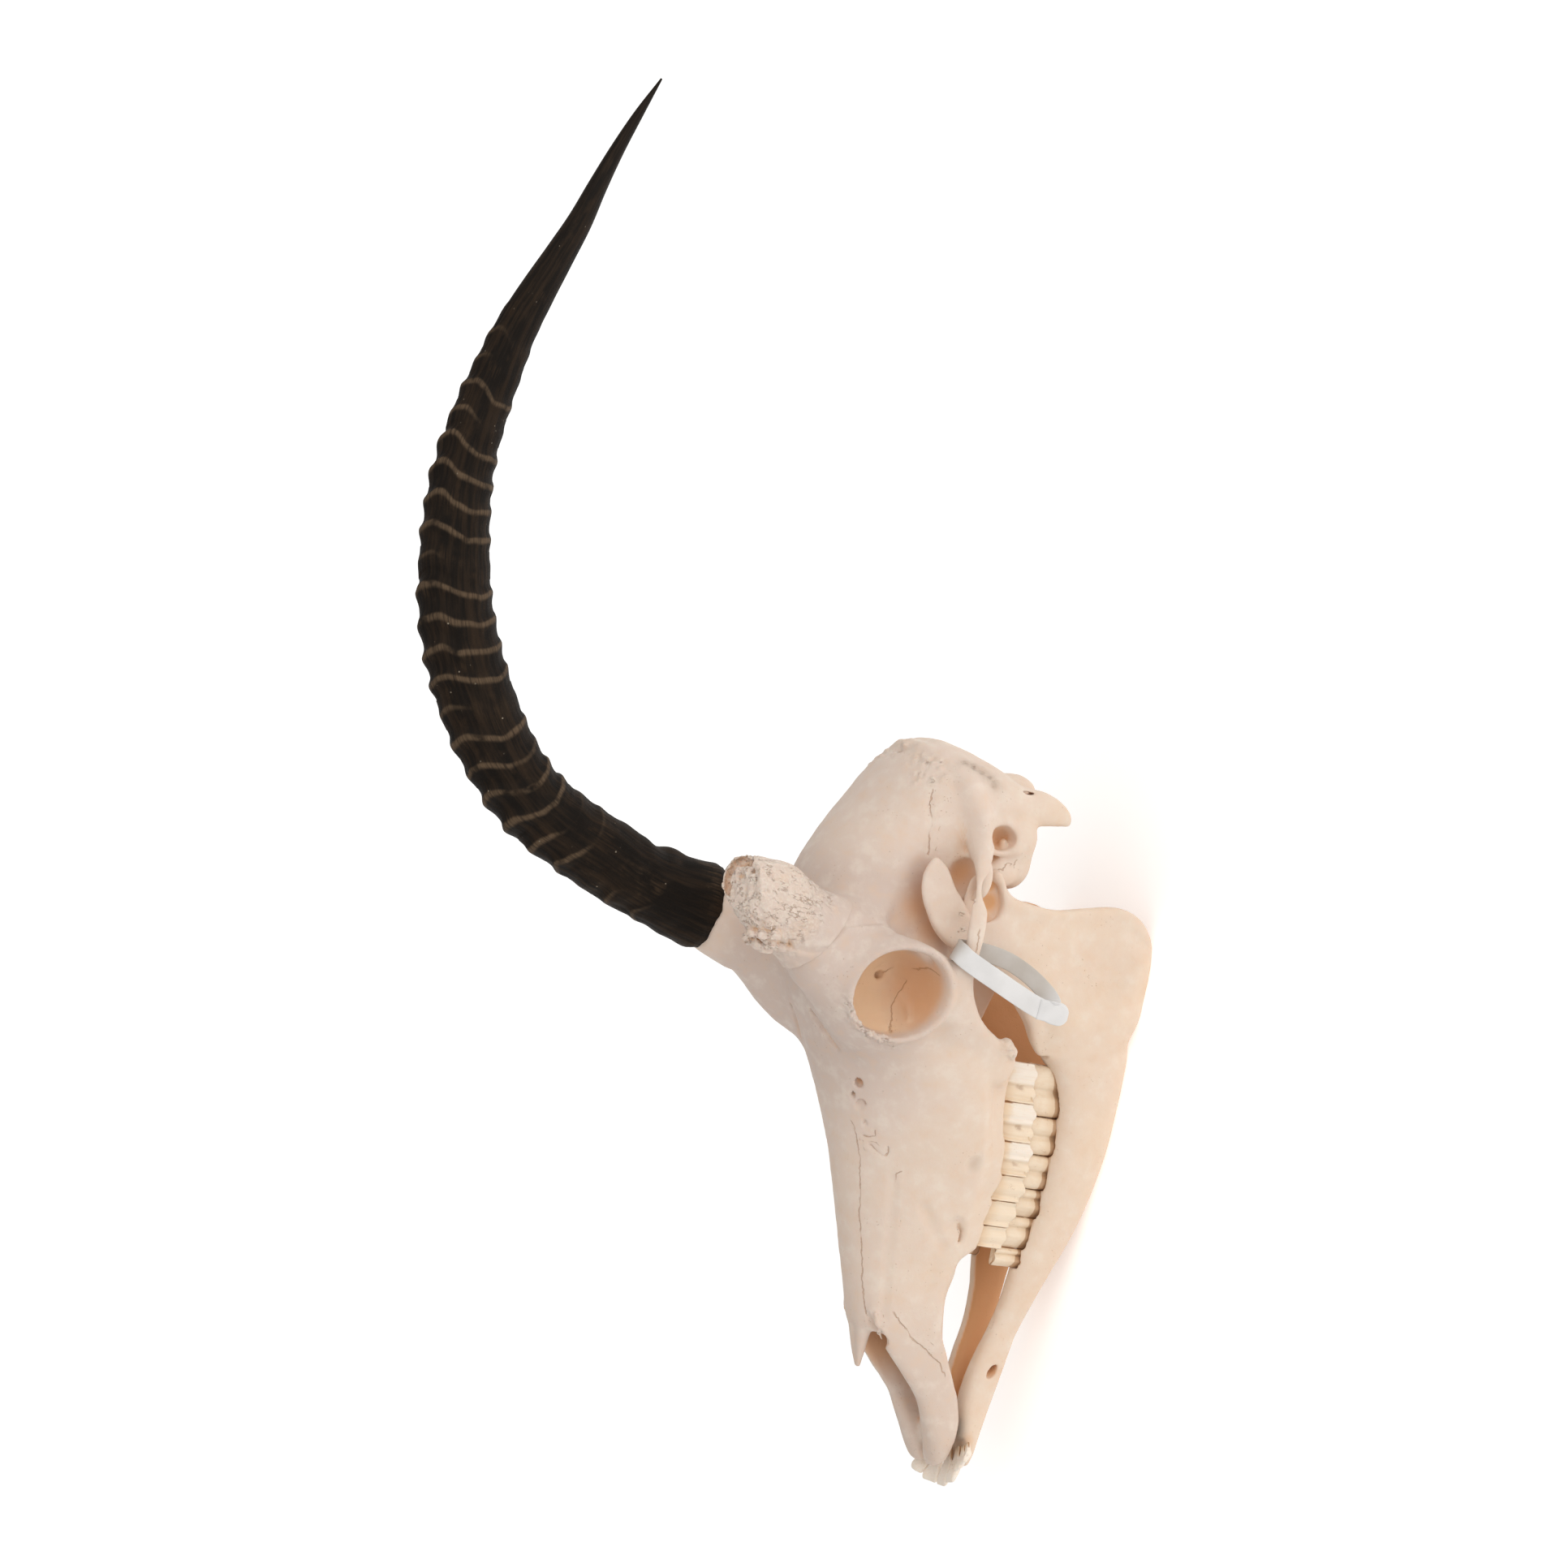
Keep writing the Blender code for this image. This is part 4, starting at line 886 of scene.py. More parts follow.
def hollows(clay):
    """Everything that is cut out of the cranium."""
    ry, rz = ORBIT_RIM
    rows = ((10, 0, 0, ry + 2.5, rz + 2.5), (-1.5, 0, 0, ry, rz), (-16, 2, -1, ry - 0.6, rz - 1.6),
            (-30, 5, -3, ry - 4, rz - 6), (-46, 9, -6, ry - 14, rz - 15))
    clay.cut_both(orbit_form(rows, 6.0), 2.0)
    clay.add_both(rope([(33.0, -39.5, 146.0), (41.5, -45.0, 143.9), (49.0, -52.0, 146.2)], (0.6, 1.0, 0.6)),
                  3)
    for *middle, size in ((62.0, -55.5, 185.5, 2.4), (62.4, -60.5, 179.0, 2.8), (63.5, -64.5, 171.0, 2.6),
                          (61.0, -50.5, 189.5, 1.8), (65.0, -66.8, 164.0, 1.8)):
        clay.cut(ball(middle, (size * 1.2, size, size)), 0.8)
    clay.cut_both(rope([(24.5, -31.3, 155.0), (20.5, -32.5, 156.0)], (2.3, 1.8)), 1.2)
    clay.cut_both(rope([(43.4, -56.2, 153.6), (51.4, -62.2, 157.8)], (0.9, 1.1)), 1.2)
    nose = ((-300, 0, 90, 14.5, 24), (-250, 0, 90, 15, 17), (-228, 0, 93, 14.8, 16), (-205, 0, 98, 16, 17),
            (-178, 0, 100, 15, 15), (-150, 0, 101, 9, 9))
    clay.cut(bar("y", nose, 2.6, 3), 2)
    clay.add_both(rope([(3.6, -286, 59.5), (3.8, -268, 63), (4.0, -252, 68.5), (4.4, -238, 73)],
                       (2.2, 2.2, 1.8, 1.2)), 2)
    clay.cut(bar("y", ((-310, 0, 58, 1.4, 20), (-262, 0, 60, 1.4, 20)), 4.0, 1.0), 1.2)
    slit = ((-272, 7.6, 60, 2.2, 14), (-258, 8.6, 62, 4.0, 14), (-242, 8.6, 68, 3.4, 12),
            (-232, 8.0, 72, 1.6, 10))
    clay.cut_both(bar("y", slit, 2.4, 1.0), 1.5)
    throat = ((-66, 0, 82, 12, 12), (-42, 0, 92, 12.6, 18), (-10, 0, 86, 13, 14), (16, 0, 76, 15, 14))
    clay.cut(bar("y", throat, 2.4, 5), 3)
    foramen = ((122, 0, 109, 14, 11), (84, 0, 109, 12, 9.5), (60, 0, 112, 11, 10), (36, 0, 122, 20, 18),
               (10, 0, 126, 22, 20))
    clay.cut(bar("y", foramen, 2.2, 4), 2)
    ear = ((70, 53.5, 113.2, 7.6, 9.8), (58, 53.5, 111.6, 7.0, 8.8), (51, 53.5, 110, 6.2, 7.6),
           (46, 53, 108.6, 4.6, 5.4), (43, 52.5, 107.6, 2.4, 3.0))
    clay.cut_both(bar("x", ear, 2.0, 3), 1.6)
    clay.add_both(ball((47.0, 50.5, 106.0), (2.8, 3.2, 2.6)), 1.5)
    clay.cut_both(ball((42, 80.2, 96.5), (8.5, 1.0, 6.5)), 1.0)
    clay.cut_both(ball((51, 28, 128), (10, 11.5, 8.5)), 2.0)
    clay.cut_both(ball((25, 64, 92), (4, 9, 4)), 2)
    clay.cut_both(ball((31, 20, 96), (6, 8, 5)), 4)
    clay.cut_both(rope([(52.5, -4.0, 163), (49.5, -6.0, 156), (48.5, -7, 150)], (1.8, 2.6, 1.4)), 2)
    clay.cut_both(ball((58, 14, 146), (15.5, 30, 22)), 8)
    clay.add(rope([(61.0, -56.5, 90.0), (60.0, -60.5, 84.5)], (3.4, 2.6)), 4)
    clay.cut_both(rope([(12.6, -215, 121), (14.2, -221, 118.0), (15.2, -226.5, 113.8), (15.5, -232, 109.5)],
                       (0.7, 2.0, 3.8, 5.0)), 0.6)
    clay.add(rope([(19.0, -217, 117.0), (17.4, -224, 113.4), (15.6, -230.5, 109.0)], (1.6, 1.5, 0.6)), 0.8)
    clay.cut_both(ball((38.0, -165.5, 87.0), (3.4, 8.5, 6.5)), 3)
    clay.cut_both(rope([(38.6, -157.6, 88.5), (37.2, -159.4, 84.2), (35.6, -163.6, 81.4),
                        (34.8, -169.0, 80.6), (34.4, -172.0, 82.0)],
                       (0.6, 1.0, 1.3, 1.5, 1.0)), 0.6)
    clay.cut_both(rope([(34.6, -160.4, 84.4), (33.0, -164.2, 81.8), (32.0, -169.6, 81.2)], (0.9, 1.2, 1.3)),
                  0.6)
    clay.cut_both(ball((49.4, -126.4, 88.8), (3.0, 5, 4.4)), 3)
    clay.cut_both(rope([(12.5, -60, 184.5), (15.5, -66, 178.5), (21, -75, 171)], (2.2, 2.0, 1.0)), 2.5)
    clay.cut_both(ball((12.0, -57.5, 184.5), (1.8, 2.4, 4)), 1)
    for middle, radii in (((26.6, -90.4, 156.8), (3.0, 3.6, 2.8)), ((21.7, -97.3, 156.3), (1.6, 3.3, 1.7)),
                          ((25.3, -103.7, 153.6), (3.4, 3.9, 2.0)), ((26.9, -100.4, 151.0), (1.4, 2.4, 1.7)),
                          ((25.3, -112.6, 148.4), (1.4, 2.2, 1.1))):
        clay.cut_both(ball(middle, radii), 1.0)
    for line in ARC_STEPS:
        clay.cut_both(rope(line, 0.75), 1.4)
    clay.cut_both(rope([(32.6, -141.0, 129.2), (29.5, -162.5, 124.3), (26.1, -179.5, 120.5),
                        (22.8, -199.8, 116.1), (21.2, -217.5, 113.2)],
                       (1.4, 1.8, 1.8, 1.6, 1.2)), 3.5)
    clay.cut_both(rope([(38.6, -154, 109.9), (37.3, -165, 100.5), (35.0, -175, 91.0)], (2.2, 3.0, 2.2)), 4)
    clay.cut_both(rope([(42.4, 71.8, 152.4), (43.6, 64.6, 154.4), (46.8, 56.2, 152.9), (47.8, 45.2, 152.6),
                        (46.6, 38.0, 151.0)],
                       (1.6, 2.0, 2.2, 2.0, 1.4)), 1.3)
    for y, x, z, reach, half in tooth_seats(UPPER_TEETH, UPPER_ROW, UPPER_GUM, 1):
        seat = bar("z", ((z + SOCKET, x, y, half, reach), (z - 40, x, y, half, reach)), 3.6, 1.5)
        clay.cut_both(seat, 1.4)


def tooth_seats(teeth, row, gum, up):
    """Middle and half sizes of each tooth's socket: y, x, the gum's height there, half length, half width."""
    for _, rear, front in teeth:
        y = (rear + front) / 2
        outer, width = flowing(row, np.array(y))
        yield y, float(outer - width / 2), level(gum, y), (rear - front) / 2 + 0.25, float(width) / 2 + 0.05


LIP_STEP = 1.3                 # height of the step where the rough core starts
# Crumbled, grainy and crusty patches: x, y, z and radius
CRUMBS = ((59.4, -47.1, 190.7, 6), (58.9, -53.4, 187, 8), (58.5, -58.8, 180.4, 9), (59, -63.2, 173.8, 9),
          (59.5, -65.7, 165.7, 8),
          (57.5, -66.7, 157.8, 5), (61, -58.5, 89, 7), (59, -62, 85, 6), (16.5, -226, 112.5, 5))
GRAINS = ((19.4, 88.7, 152.7, 8), (27.6, 88.0, 149.5, 8), (33.5, 88.3, 145.1, 7), (30.5, 78.3, 155.9, 8),
          (38.0, 77.9, 150.8, 7),
          (40.8, 80.8, 145.2, 5), (-19.7, 88.2, 152.8, 9), (-34.2, 83.1, 149.7, 9), (0, 92, 152, 10))
CRUST = ((38.9, 90.6, 133.1, 6), (41.5, 89.4, 129, 7), (44.3, 87.8, 125, 7), (47.4, 84.9, 122, 7),
         (49.4, 82.0, 119, 6))
# Lumps low on the front of the broken core: x, y, z and half size
NODULES = ((47.5, -19.0, 249.0, 3.0), (40.0, -23.0, 244.5, 3.6), (39.5, -25.0, 239.5, 3.0),
           (53.0, -18.6, 246.0, 3.3), (51.8, -22.6, 240.0, 3.6), (57.0, -18.0, 241.0, 3.2),
           (46.0, -24.0, 244.0, 3.4), (45.5, -25.6, 238.5, 3.8), (50.2, -19.0, 251.5, 2.2),
           (58.0, -13.4, 246.5, 2.6), (42.5, -21.5, 250.0, 2.6), (36.0, -24.5, 242.0, 2.4))
CRANIUM_LOW, CRANIUM_HIGH = (-84, -302, 52), (84, 106, 292)
MOST_TRIANGLES = 192000


def left_and_right(*lines):
    """Lines of the left side, and their mirror images."""
    return [*lines] + [np.array(line) * (-1, 1, 1) for line in lines]


def orbit_depth(points):
    """How deep in an orbit a point lies, 0 at the rim and 1 well inside, split between the orbit's lower part
    and the rest of its wall."""
    x = np.abs(points[:, 0])
    dy, dz = points[:, 1] - ORBIT[1], points[:, 2] - ORBIT[2]
    out = x - ORBIT[0] - ORBIT_LEAN[0] * dy - ORBIT_LEAN[1] * dz
    within = smooth_step(np.hypot(dy / ORBIT_RIM[0], dz / ORBIT_RIM[1]), 1.12, 1.0) * smooth_step(x, 12, 20)
    lower = smooth_step(-dz, 3, 24)
    return within * smooth_step(-out, 1, 12) * lower, within * smooth_step(-out, 3, 16) * (1 - lower)


def painted_shade_amount(points):
    """How much painted shade the bone takes: 1 on the forehead and round the horns, and nearly 1 on the nose,
    fading to 0 elsewhere.
    """
    y, z = points[:, 1], points[:, 2]
    forehead = smooth_step(y, -125, -80) * smooth_step(y, 48, 15)
    forehead = forehead * smooth_step(z, 118, 165) * smooth_step(z, 236, 214)
    return np.maximum(0.8 * smooth_step(y, -185, -260), forehead)


def turned_in(points, normals):
    """1 where the surface faces the skull's mid-plane, 0 where it faces out."""
    return smooth_step(-normals[:, 0] * np.sign(points[:, 0]), 0.1, 0.6)


def step_along(points, normals, line, half, fade):
    """A step in the bone along a line, as the rise of each point: up on one side and down on the other,
    over a width of twice half, and gone at fade."""
    lip, _ = line_reach(points, normals, [line])
    return LIP_STEP * (smooth_step(lip, -half, half) - 0.5) * (1 - smooth_step(np.abs(lip), 1.5, fade))


def make_cranium(step, paint):
    """Skin of the cranium's clay, roughened by soft noise along its normals, with the numbers that its
    material reads: how hollow the place is, widely and closely, which sets painted shade, its sutures, its
    crumbled patches, and where painted shade and painted light fall."""
    clay = Clay(CRANIUM_LOW, CRANIUM_HIGH, step)
    face_and_braincase(clay)
    clay.add(bar("z", RIGHT_CORE, 2.0, 4, ((-0.07, -0.19), (-42, -12.3))), 4)
    clay.add(bar("z", LEFT_CORE, 2.0, 4), 3)
    rear_and_base(clay)
    hollows(clay)
    points, faces = clay.skin()
    points = relaxed(points, faces, 2)
    normals = outward(points, faces)
    crumbled = patches(points, CRUMBS)
    grains = np.maximum(patches(points, GRAINS), patches(points, CRUST) * 0.8)
    rise = 0.35 * noise(points, 24, 3) + 0.14 * noise(points, 6, 5, 2)
    rise += step_along(points, normals, PEDICLE_LIP, 0.7, 6.0)
    rise += crumbled * (2.6 * (0.5 - pebbles(points, 3.4, 11)) + 0.9 * noise(points, 2.2, 12))
    rise += grains * (2.4 * (0.5 - pebbles(points, 4.2, 15)) + 0.8 * noise(points, 2.5, 16))
    points = points + normals * rise[:, None]
    mesh = thinned(mesh_of("cranium_bone", points, faces), MOST_TRIANGLES)
    points, faces = points_of(mesh), corners_of(mesh)
    normals = outward(points, faces)
    lines = left_and_right(NASAL_SUTURE, *PREMAXILLA_CRACKS, *ARC_STEPS, SQUAMOSAL_CRACK, *ORBIT_CRACKS,
                           ARCH_CRACK, *BULLA_CRACKS)
    seam, passing = line_reach(points, normals, lines + [PALATE_SUTURE])
    # The orbit's lower part takes painted shade, the rest of its wall painted light
    lower, rest = orbit_depth(points)
    # Painted shade in the temporal fossa
    fossa = 0.9 * patches(points, ((42, 8, 148, 17), (42.5, -2, 140, 15), (42, 30, 126, 13)))
    y, z = points[:, 1], points[:, 2]
    # Less painted shade in the orbit's upper part
    upper = smooth_step(z - ORBIT[2], -22, -6) * smooth_step(z - ORBIT[2], 34, 26)
    upper = upper * (np.abs(y - ORBIT[1]) < 27)
    # Painted shade on faces turned to the mid-plane, low down between the tooth rows and in the nose
    palate = turned_in(points, normals) * smooth_step(z, 128, 116)
    palate = palate * smooth_step(y, 30, 10) * smooth_step(y, -262, -236)
    # The shade and inner marks carry painted shade, and the mark of the orbits' upper walls painted light;
    # hollow and crease set painted shade in hollows and creases
    mark(mesh, seam=seam, passing=passing, shade=painted_shade_amount(points), glow=0.85 * rest,
         hollow=clay.fullness(points, 14) - 0.30 * upper, crease=clay.fullness(points, 3.5),
         crumb=np.maximum(patches(points, CRUMBS), 0.75 * patches(points, GRAINS + CRUST)),
         inner=np.maximum(palate, np.maximum(lower, fossa)),
         smudge=patches(points, ((48.6, -126.4, 88.8, 5),) + CRUST))
    put(mesh, "bone", paint, "cranium")


def make_stump(paint):
    """The broken left core: a tapered form cut off by a sloping break, with a furrow between its outer shell
    and its spongy middle, lumps low on its front, and coarse noise drawn out along it."""
    clay = Clay((14, -56, 186), (68, 34, 274), 0.55)
    rows = [(z, x, y, a + 0.7, b + 0.7) for z, x, y, a, b in PEDICLE[1:] + STUMP[:-1]]
    body = bar("z", rows + [(274, 45.6, 11.5, 10, 11.5)], 2.0, 1.0)
    clay.add(body, 0.5)
    for x, y, z, size in NODULES:
        rows = ((z - size, x, y, size * 0.85, size * 0.8), (z, x, y, size, size * 0.95),
                (z + size, x, y, size * 0.8, size * 0.8))
        clay.add(bar("z", rows, 3.2, 1.2), 0.6)
    low, high = (0, -70, 170), (80, 50, 290)
    clay.cut(beyond(BREAK, BREAK_WAY, low, high), 0.8)
    clay.cut(beyond(CORE_FOOT, -np.array(CORE_FOOT_WAY), low, high), 1.0)
    way = unit(BREAK_WAY)

    def furrow(x, y, z):
        depth = sum((c - m) * w for c, m, w in zip((x, y, z), BREAK, way))
        turn = np.arctan2(y - BREAK[1] + 0 * z, x - BREAK[0] + 0 * z)
        side = -np.cos(turn - 2.6)
        width = 0.15 + 2.3 * smooth_step(-side, -0.1, 0.7)
        floor = 1.6 + 2.4 * smooth_step(-side, -0.2, 0.9)
        return np.maximum(np.abs(body.distance(x, y, z) + 3.4) - width, -depth - floor)

    clay.cut(Form((24, -20, 246), (66, 32, 274), furrow), 0.6)
    for x, y, z, size in ((44, 19, 261, 2.2), (49, 18, 258, 2.0), (39, 16, 264, 2.4), (52, 13, 258, 1.6)):
        clay.cut(ball((x, y, z), (size, size, size * 1.6)), 0.8)
    points, faces = clay.skin()
    points = relaxed(points, faces, 1)
    normals = outward(points, faces)
    axis = unit((10.0, 36.0, 95.0))
    spun = points - 0.68 * (points @ axis)[:, None] * axis
    broken = smooth_step((points - BREAK) @ way, -2.5, -0.5)
    worn = smooth_step((points - CORE_FOOT) @ unit(CORE_FOOT_WAY), 1, 22)
    lumps = 0.55 - pebbles(points, 4.6, 21)
    rise = worn * (0.5 * noise(spun, 4.2, 22, 3) - 0.3) + 0.1 * noise(points, 3, 23)
    front = smooth_step(-points[:, 1], -4, 12) * smooth_step(points[:, 2], 214, 232)
    rise += 1.5 * lumps * np.maximum(front, broken * 0.8)
    rise -= worn * 0.6 * smooth_step(noise(spun, 3.0, 24), 0.35, 0.75) * (1 - broken)
    rise += step_along(points, normals, CORE_LIP, 0.6, 5.0) * (1 - broken)
    veins = np.abs(noise(spun, 5.2, 27) + 0.35 * noise(points, 2.6, 28))
    cracks = smooth_step(veins, 0.16, 0.0) * smooth_step(noise(points, 9.0, 29), -0.35, 0.1)
    rise -= (1 - broken) * worn * 0.9 * cracks
    pits = smooth_step(noise(points, 3.4, 26), 0.25, 0.6)
    rise += broken * (1.6 * (0.5 - pebbles(points, 5.5, 25)) - pits)
    points = points + normals * np.clip(rise, -2.6, 1.6)[:, None]
    mesh = thinned(mesh_of("left_horn_core", points, faces), MOST_TRIANGLES)
    points, faces = points_of(mesh), corners_of(mesh)
    # Painted shade in the furrow between the shell and the spongy middle
    deep = smooth_step(-((points - BREAK) @ way), 0.6, 2.0)
    groove = 0.50 * deep * smooth_step(furrow(*points.T), 1.3, 0.3) * smooth_step(points[:, 2], 250, 254)
    # shade carries painted shade round the horn's foot; hollow and crease set painted shade in hollows and
    # creases
    mark(mesh, seam=6.0, passing=0.0, smudge=0.0, shade=painted_shade_amount(points), inner=groove,
         hollow=clay.fullness(points, 4) - 0.06, crease=clay.fullness(points, 1.6) - 0.10,
         crumb=smooth_step((points - CORE_FOOT) @ unit(CORE_FOOT_WAY), 2, 20))
    put(mesh, "bone", paint, "cranium")


# The lower jaw

RAMUS_OUTLINE = ((-61, 50), (-61.2, 58.4), (-56.2, 65.0), (-49.7, 70), (-44.3, 73.4), (-36.4, 81),
                 (-27.5, 91), (-20.5, 100), (-16.4, 108), (-14.4, 116), (-12.2, 124.5), (-6.8, 137.0),
                 (3.6, 147.6), (16.2, 155.0), (27.6, 156.0), (35.6, 152.4), (37.2, 148.8), (33.0, 142.4),
                 (27.6, 138.4), (22.6, 135.0), (16.0, 128.6), (10.4, 123.6), (7.0, 117.4), (7.2, 111.0),
                 (10.4, 105.8), (15.4, 104.2), (21.3, 105.2), (27.0, 108.0), (31.4, 111.2), (34.6, 111.8),
                 (35.0, 108.4), (31.0, 105.0), (26.0, 101.6), (22.4, 95.2), (20.6, 85.2), (19.6, 75.0),
                 (19.4, 67.0), (20.2, 60.6), (22.2, 51.5), (25.4, 37), (26.4, 26), (23.6, 14), (15.5, 4.4),
                 (1, -1.5), (-23, -2.0), (-45, 6), (-54, 20), (-58, 36))
RAMUS_MIDDLE = ((-2, 46.8), (5, 47.6), (14, 48.2), (37, 48.0), (51, 47.8), (61, 48.4), (70, 49.2),
                (81, 50.4), (91, 51.6), (104, 53.4), (118, 54.2), (155, 54.2))
# The blade's half thickness, and the y of its thicker front and rear strips, at each height
RAMUS_THICK = ((-2, 3.2), (14, 3.4), (37, 3.2), (61, 3.6), (91, 3.4), (110, 3.0), (155, 2.2))
RAMUS_FRONT = ((0, -50), (51, -55), (70, -44), (91, -25), (105, -16), (155, 0))
RAMUS_REAR = ((0, 10), (26, 24), (51, 20), (81, 18), (105, 20), (155, 30))
NOTCH_WEB = ((2, 118), (6, 106), (12, 101), (22, 101), (30, 106), (34, 114), (30, 123), (18, 126), (8, 125))
RIGHT_REAR_SHIFT = 7.0         # how much further forward the right half's rear edge stands


def jaw_clay(step):
    """The left half of the lower jaw: its body, its upright blade and condyle, its holes and sockets."""
    clay = Clay((-2, -312, -2), (70, 40, 157), step)
    rows = [(y, x, (low + high) / 2, half, (high - low) / 2) for y, x, low, high, half in JAW]
    clay.add(bar("y", rows, 2.65, 3.0), 1)

    def middle(y, z):
        return flowing(RAMUS_MIDDLE, z)[0] - 0.16 * np.maximum(-38 - y, 0) * smooth_step(z, 75, 55)

    def half(y, z):
        thick, front, rear = (flowing(table, z)[0] for table in (RAMUS_THICK, RAMUS_FRONT, RAMUS_REAR))
        front = (0.5 + 1.1 * smooth_step(z, 45, 65)) * np.exp(-np.square((y - front) / 6))
        rear = np.exp(-np.square((y - rear) / 5))
        return thick + front + rear * (z < 112)

    clay.add(blade(RAMUS_OUTLINE, middle, half, 1.6), 6)
    clay.add(bar("x", CONDYLE, 2.2, 2.0), 3)
    clay.add(rope([(47, -46, 52), (45, -30, 20), (47.5, -4, 8)], (4, 5, 3.6)), 12)
    clay.cut(ball((65.5, -14, 38), (13.5, 25, 25)), 10)
    clay.cut(ball((62.5, 2, 122), (7.2, 9, 20)), 4)
    clay.add(blade(NOTCH_WEB, lambda y, z: 49.6 + 0 * y * z, lambda y, z: 1.3 + 0 * y * z, 0.8), 1)
    clay.cut(ball((43.8, -61.6, 54.4), (5, 1.6, 1.6)), 0.8)
    clay.cut(ball((41.5, -14, 58), (3.6, 6, 4.2)), 3)
    clay.cut(rope([(41.5, -18, 55), (41.8, -32, 46)], (1.8, 0.8)), 2)
    mental = ((26, -243, 35.5), (18.0, -242.5, 35.3), (12, -239, 34.8), (8, -236, 34.5))
    clay.cut(rope(mental, (4.8, 4.4, 3.6, 2.0), ((0, 0.58, 0.81), 1.9)), 0.5)
    clay.cut(rope([(22, -250, 36.2), (20.5, -255, 37.6)], (2.4, 0.8)), 2)
    clay.cut(ball((24.0, -198, 36.5), (1.6, 2.2, 1.0)), 1)
    clay.cut(bar("y", ((-281.0, 12, 47.2, 12.6, 2.0), (-312, 12.5, 47.2, 17, 3.0)), 3.5, 1.5), 1.2)
    for y, x, z, reach, wide in tooth_seats(LOWER_TEETH, LOWER_ROW, LOWER_GUM, -1):
        clay.cut(bar("z", ((z - SOCKET, x, y, wide, reach), (z + 40, x, y, wide, reach)), 3.2, 1.5), 0.6)
    clay.cut(beyond((0, 0, 0), (0, 0, -1), (-20, -330, -10), (90, 60, 4)), 1.2)
    clay.cut(beyond((0.2, 0, 0), (-1, 0, 0), (-20, -330, -10), (6, 60, 170)), 0.8)
    return clay


def make_jaws(step, paint):
    """Both halves of the lower jaw: one clay's skin and its mirror image, each with its own fine noise."""
    clay = jaw_clay(step)
    points, faces = clay.skin()
    points = relaxed(points, faces, 2)
    normals = outward(points, faces)
    for side, word in SIDES:
        rise = 0.28 * noise(points, 20, 31 + side) + 0.12 * noise(points, 6, 35 + side, 2)
        resting = smooth_step(points[:, 2], 0.5, 5) * smooth_step(points[:, 0], 0.4, 2)
        spots = points + normals * (rise * resting)[:, None]
        if side < 0:
            rear, low = smooth_step(spots[:, 1], -25, 22), smooth_step(spots[:, 2], 98, 80)
            spots[:, 1] -= RIGHT_REAR_SHIFT * rear * low
        mesh = thinned(mesh_of(f"{word}_jaw_bone", spots * (side, 1, 1), faces[:, ::side]), MOST_TRIANGLES)
        spots = points_of(mesh) * (side, 1, 1)
        x, y, z = spots.T
        gum = flowing(LOWER_GUM, y)[0]
        outer, width = flowing(LOWER_ROW, y)
        tooth = np.maximum(np.abs(z - gum) - 0.6, np.abs(x - outer + width / 2) - width / 2 - 0.5)
        stained = np.where((y < -60) & (y > -186), smooth_step(-tooth, -0.6, 0.4), 0)
        front = patches(spots, ((14, -285, 45.5, 4), (9, -289, 46.5, 4), (19, -280, 44, 4),
                                (22, -275, 42, 3)))
        # Painted shade on faces turned to the mid-plane, in the notch, the mental hole and the front slot
        facing = turned_in(spots, outward(points_of(mesh), corners_of(mesh)) * (side, 1, 1))
        notch = patches(spots, ((51, 18, 111, 9), (51, 10, 113, 6), (51, 27, 112, 6)))
        facing = np.maximum(facing, notch * smooth_step(x, 53.5, 51.5))
        mental = patches(spots, ((14, -241, 34.8, 7),)) * smooth_step(x, 17.6, 16.2)
        slot = patches(spots, ((14, -286, 45.5, 6), (8, -291, 46, 5), (19, -281, 44, 5)))
        # hollow and crease set painted shade in hollows and creases, and inner carries the painted shade
        # above
        mark(mesh, seam=6.0, passing=0.0, smudge=0.0, hollow=clay.fullness(spots, 12),
             crease=clay.fullness(spots, 3),
             inner=np.maximum.reduce([1.7 * facing, 1.3 * mental, 0.5 * slot]),
             crumb=patches(spots, ((56.4, 9.7, 129.6, 4), (55.1, 2.0, 126.2, 4), (56.0, -1.5, 129.3, 3))),
             gum=np.maximum(stained * 0.7, front * 0.15))
        put(mesh, "bone", paint, f"{word}_mandible")


# Teeth
# Outlines of cheek teeth seen from the biting face: along the row from the rear, and from the inner side out
UPPER_MOLAR = ((-0.98, 0.94), (-0.80, 0.93), (-0.58, 0.96), (-0.38, 0.95), (-0.20, 0.92), (-0.04, 0.97),
               (0.08, 0.92), (0.22, 0.80), (0.44, 0.83), (0.62, 0.82), (0.78, 0.80), (0.93, 0.98),
               (1.0, 0.86), (0.94, 0.5), (0.86, 0.2), (0.64, 0.03), (0.40, 0.02), (0.14, 0.16), (0.0, 0.24),
               (-0.14, 0.16), (-0.40, 0.02), (-0.64, 0.03), (-0.86, 0.2), (-0.94, 0.5), (-1.0, 0.82))
UPPER_PREMOLAR = ((-0.97, 0.88), (-0.70, 0.80), (-0.40, 0.86), (0.0, 0.94), (0.35, 0.88), (0.62, 0.82),
                  (0.90, 0.98), (1.0, 0.82),
                  (0.90, 0.35), (0.62, 0.06), (0.0, 0.0), (-0.62, 0.06), (-0.90, 0.35), (-1.0, 0.7))
LOWER_MOLAR = ((-0.99, 0.64), (-0.88, 0.90), (-0.62, 1.0), (-0.36, 0.99), (-0.16, 0.88), (-0.03, 0.74),
               (0.10, 0.80), (0.26, 0.94), (0.50, 1.0), (0.78, 0.95), (0.96, 0.70), (1.0, 0.34),
               (0.90, 0.08), (0.55, 0.0), (0.28, 0.05), (0.02, 0.10), (-0.28, 0.04), (-0.55, 0.0),
               (-0.90, 0.08), (-1.0, 0.28))
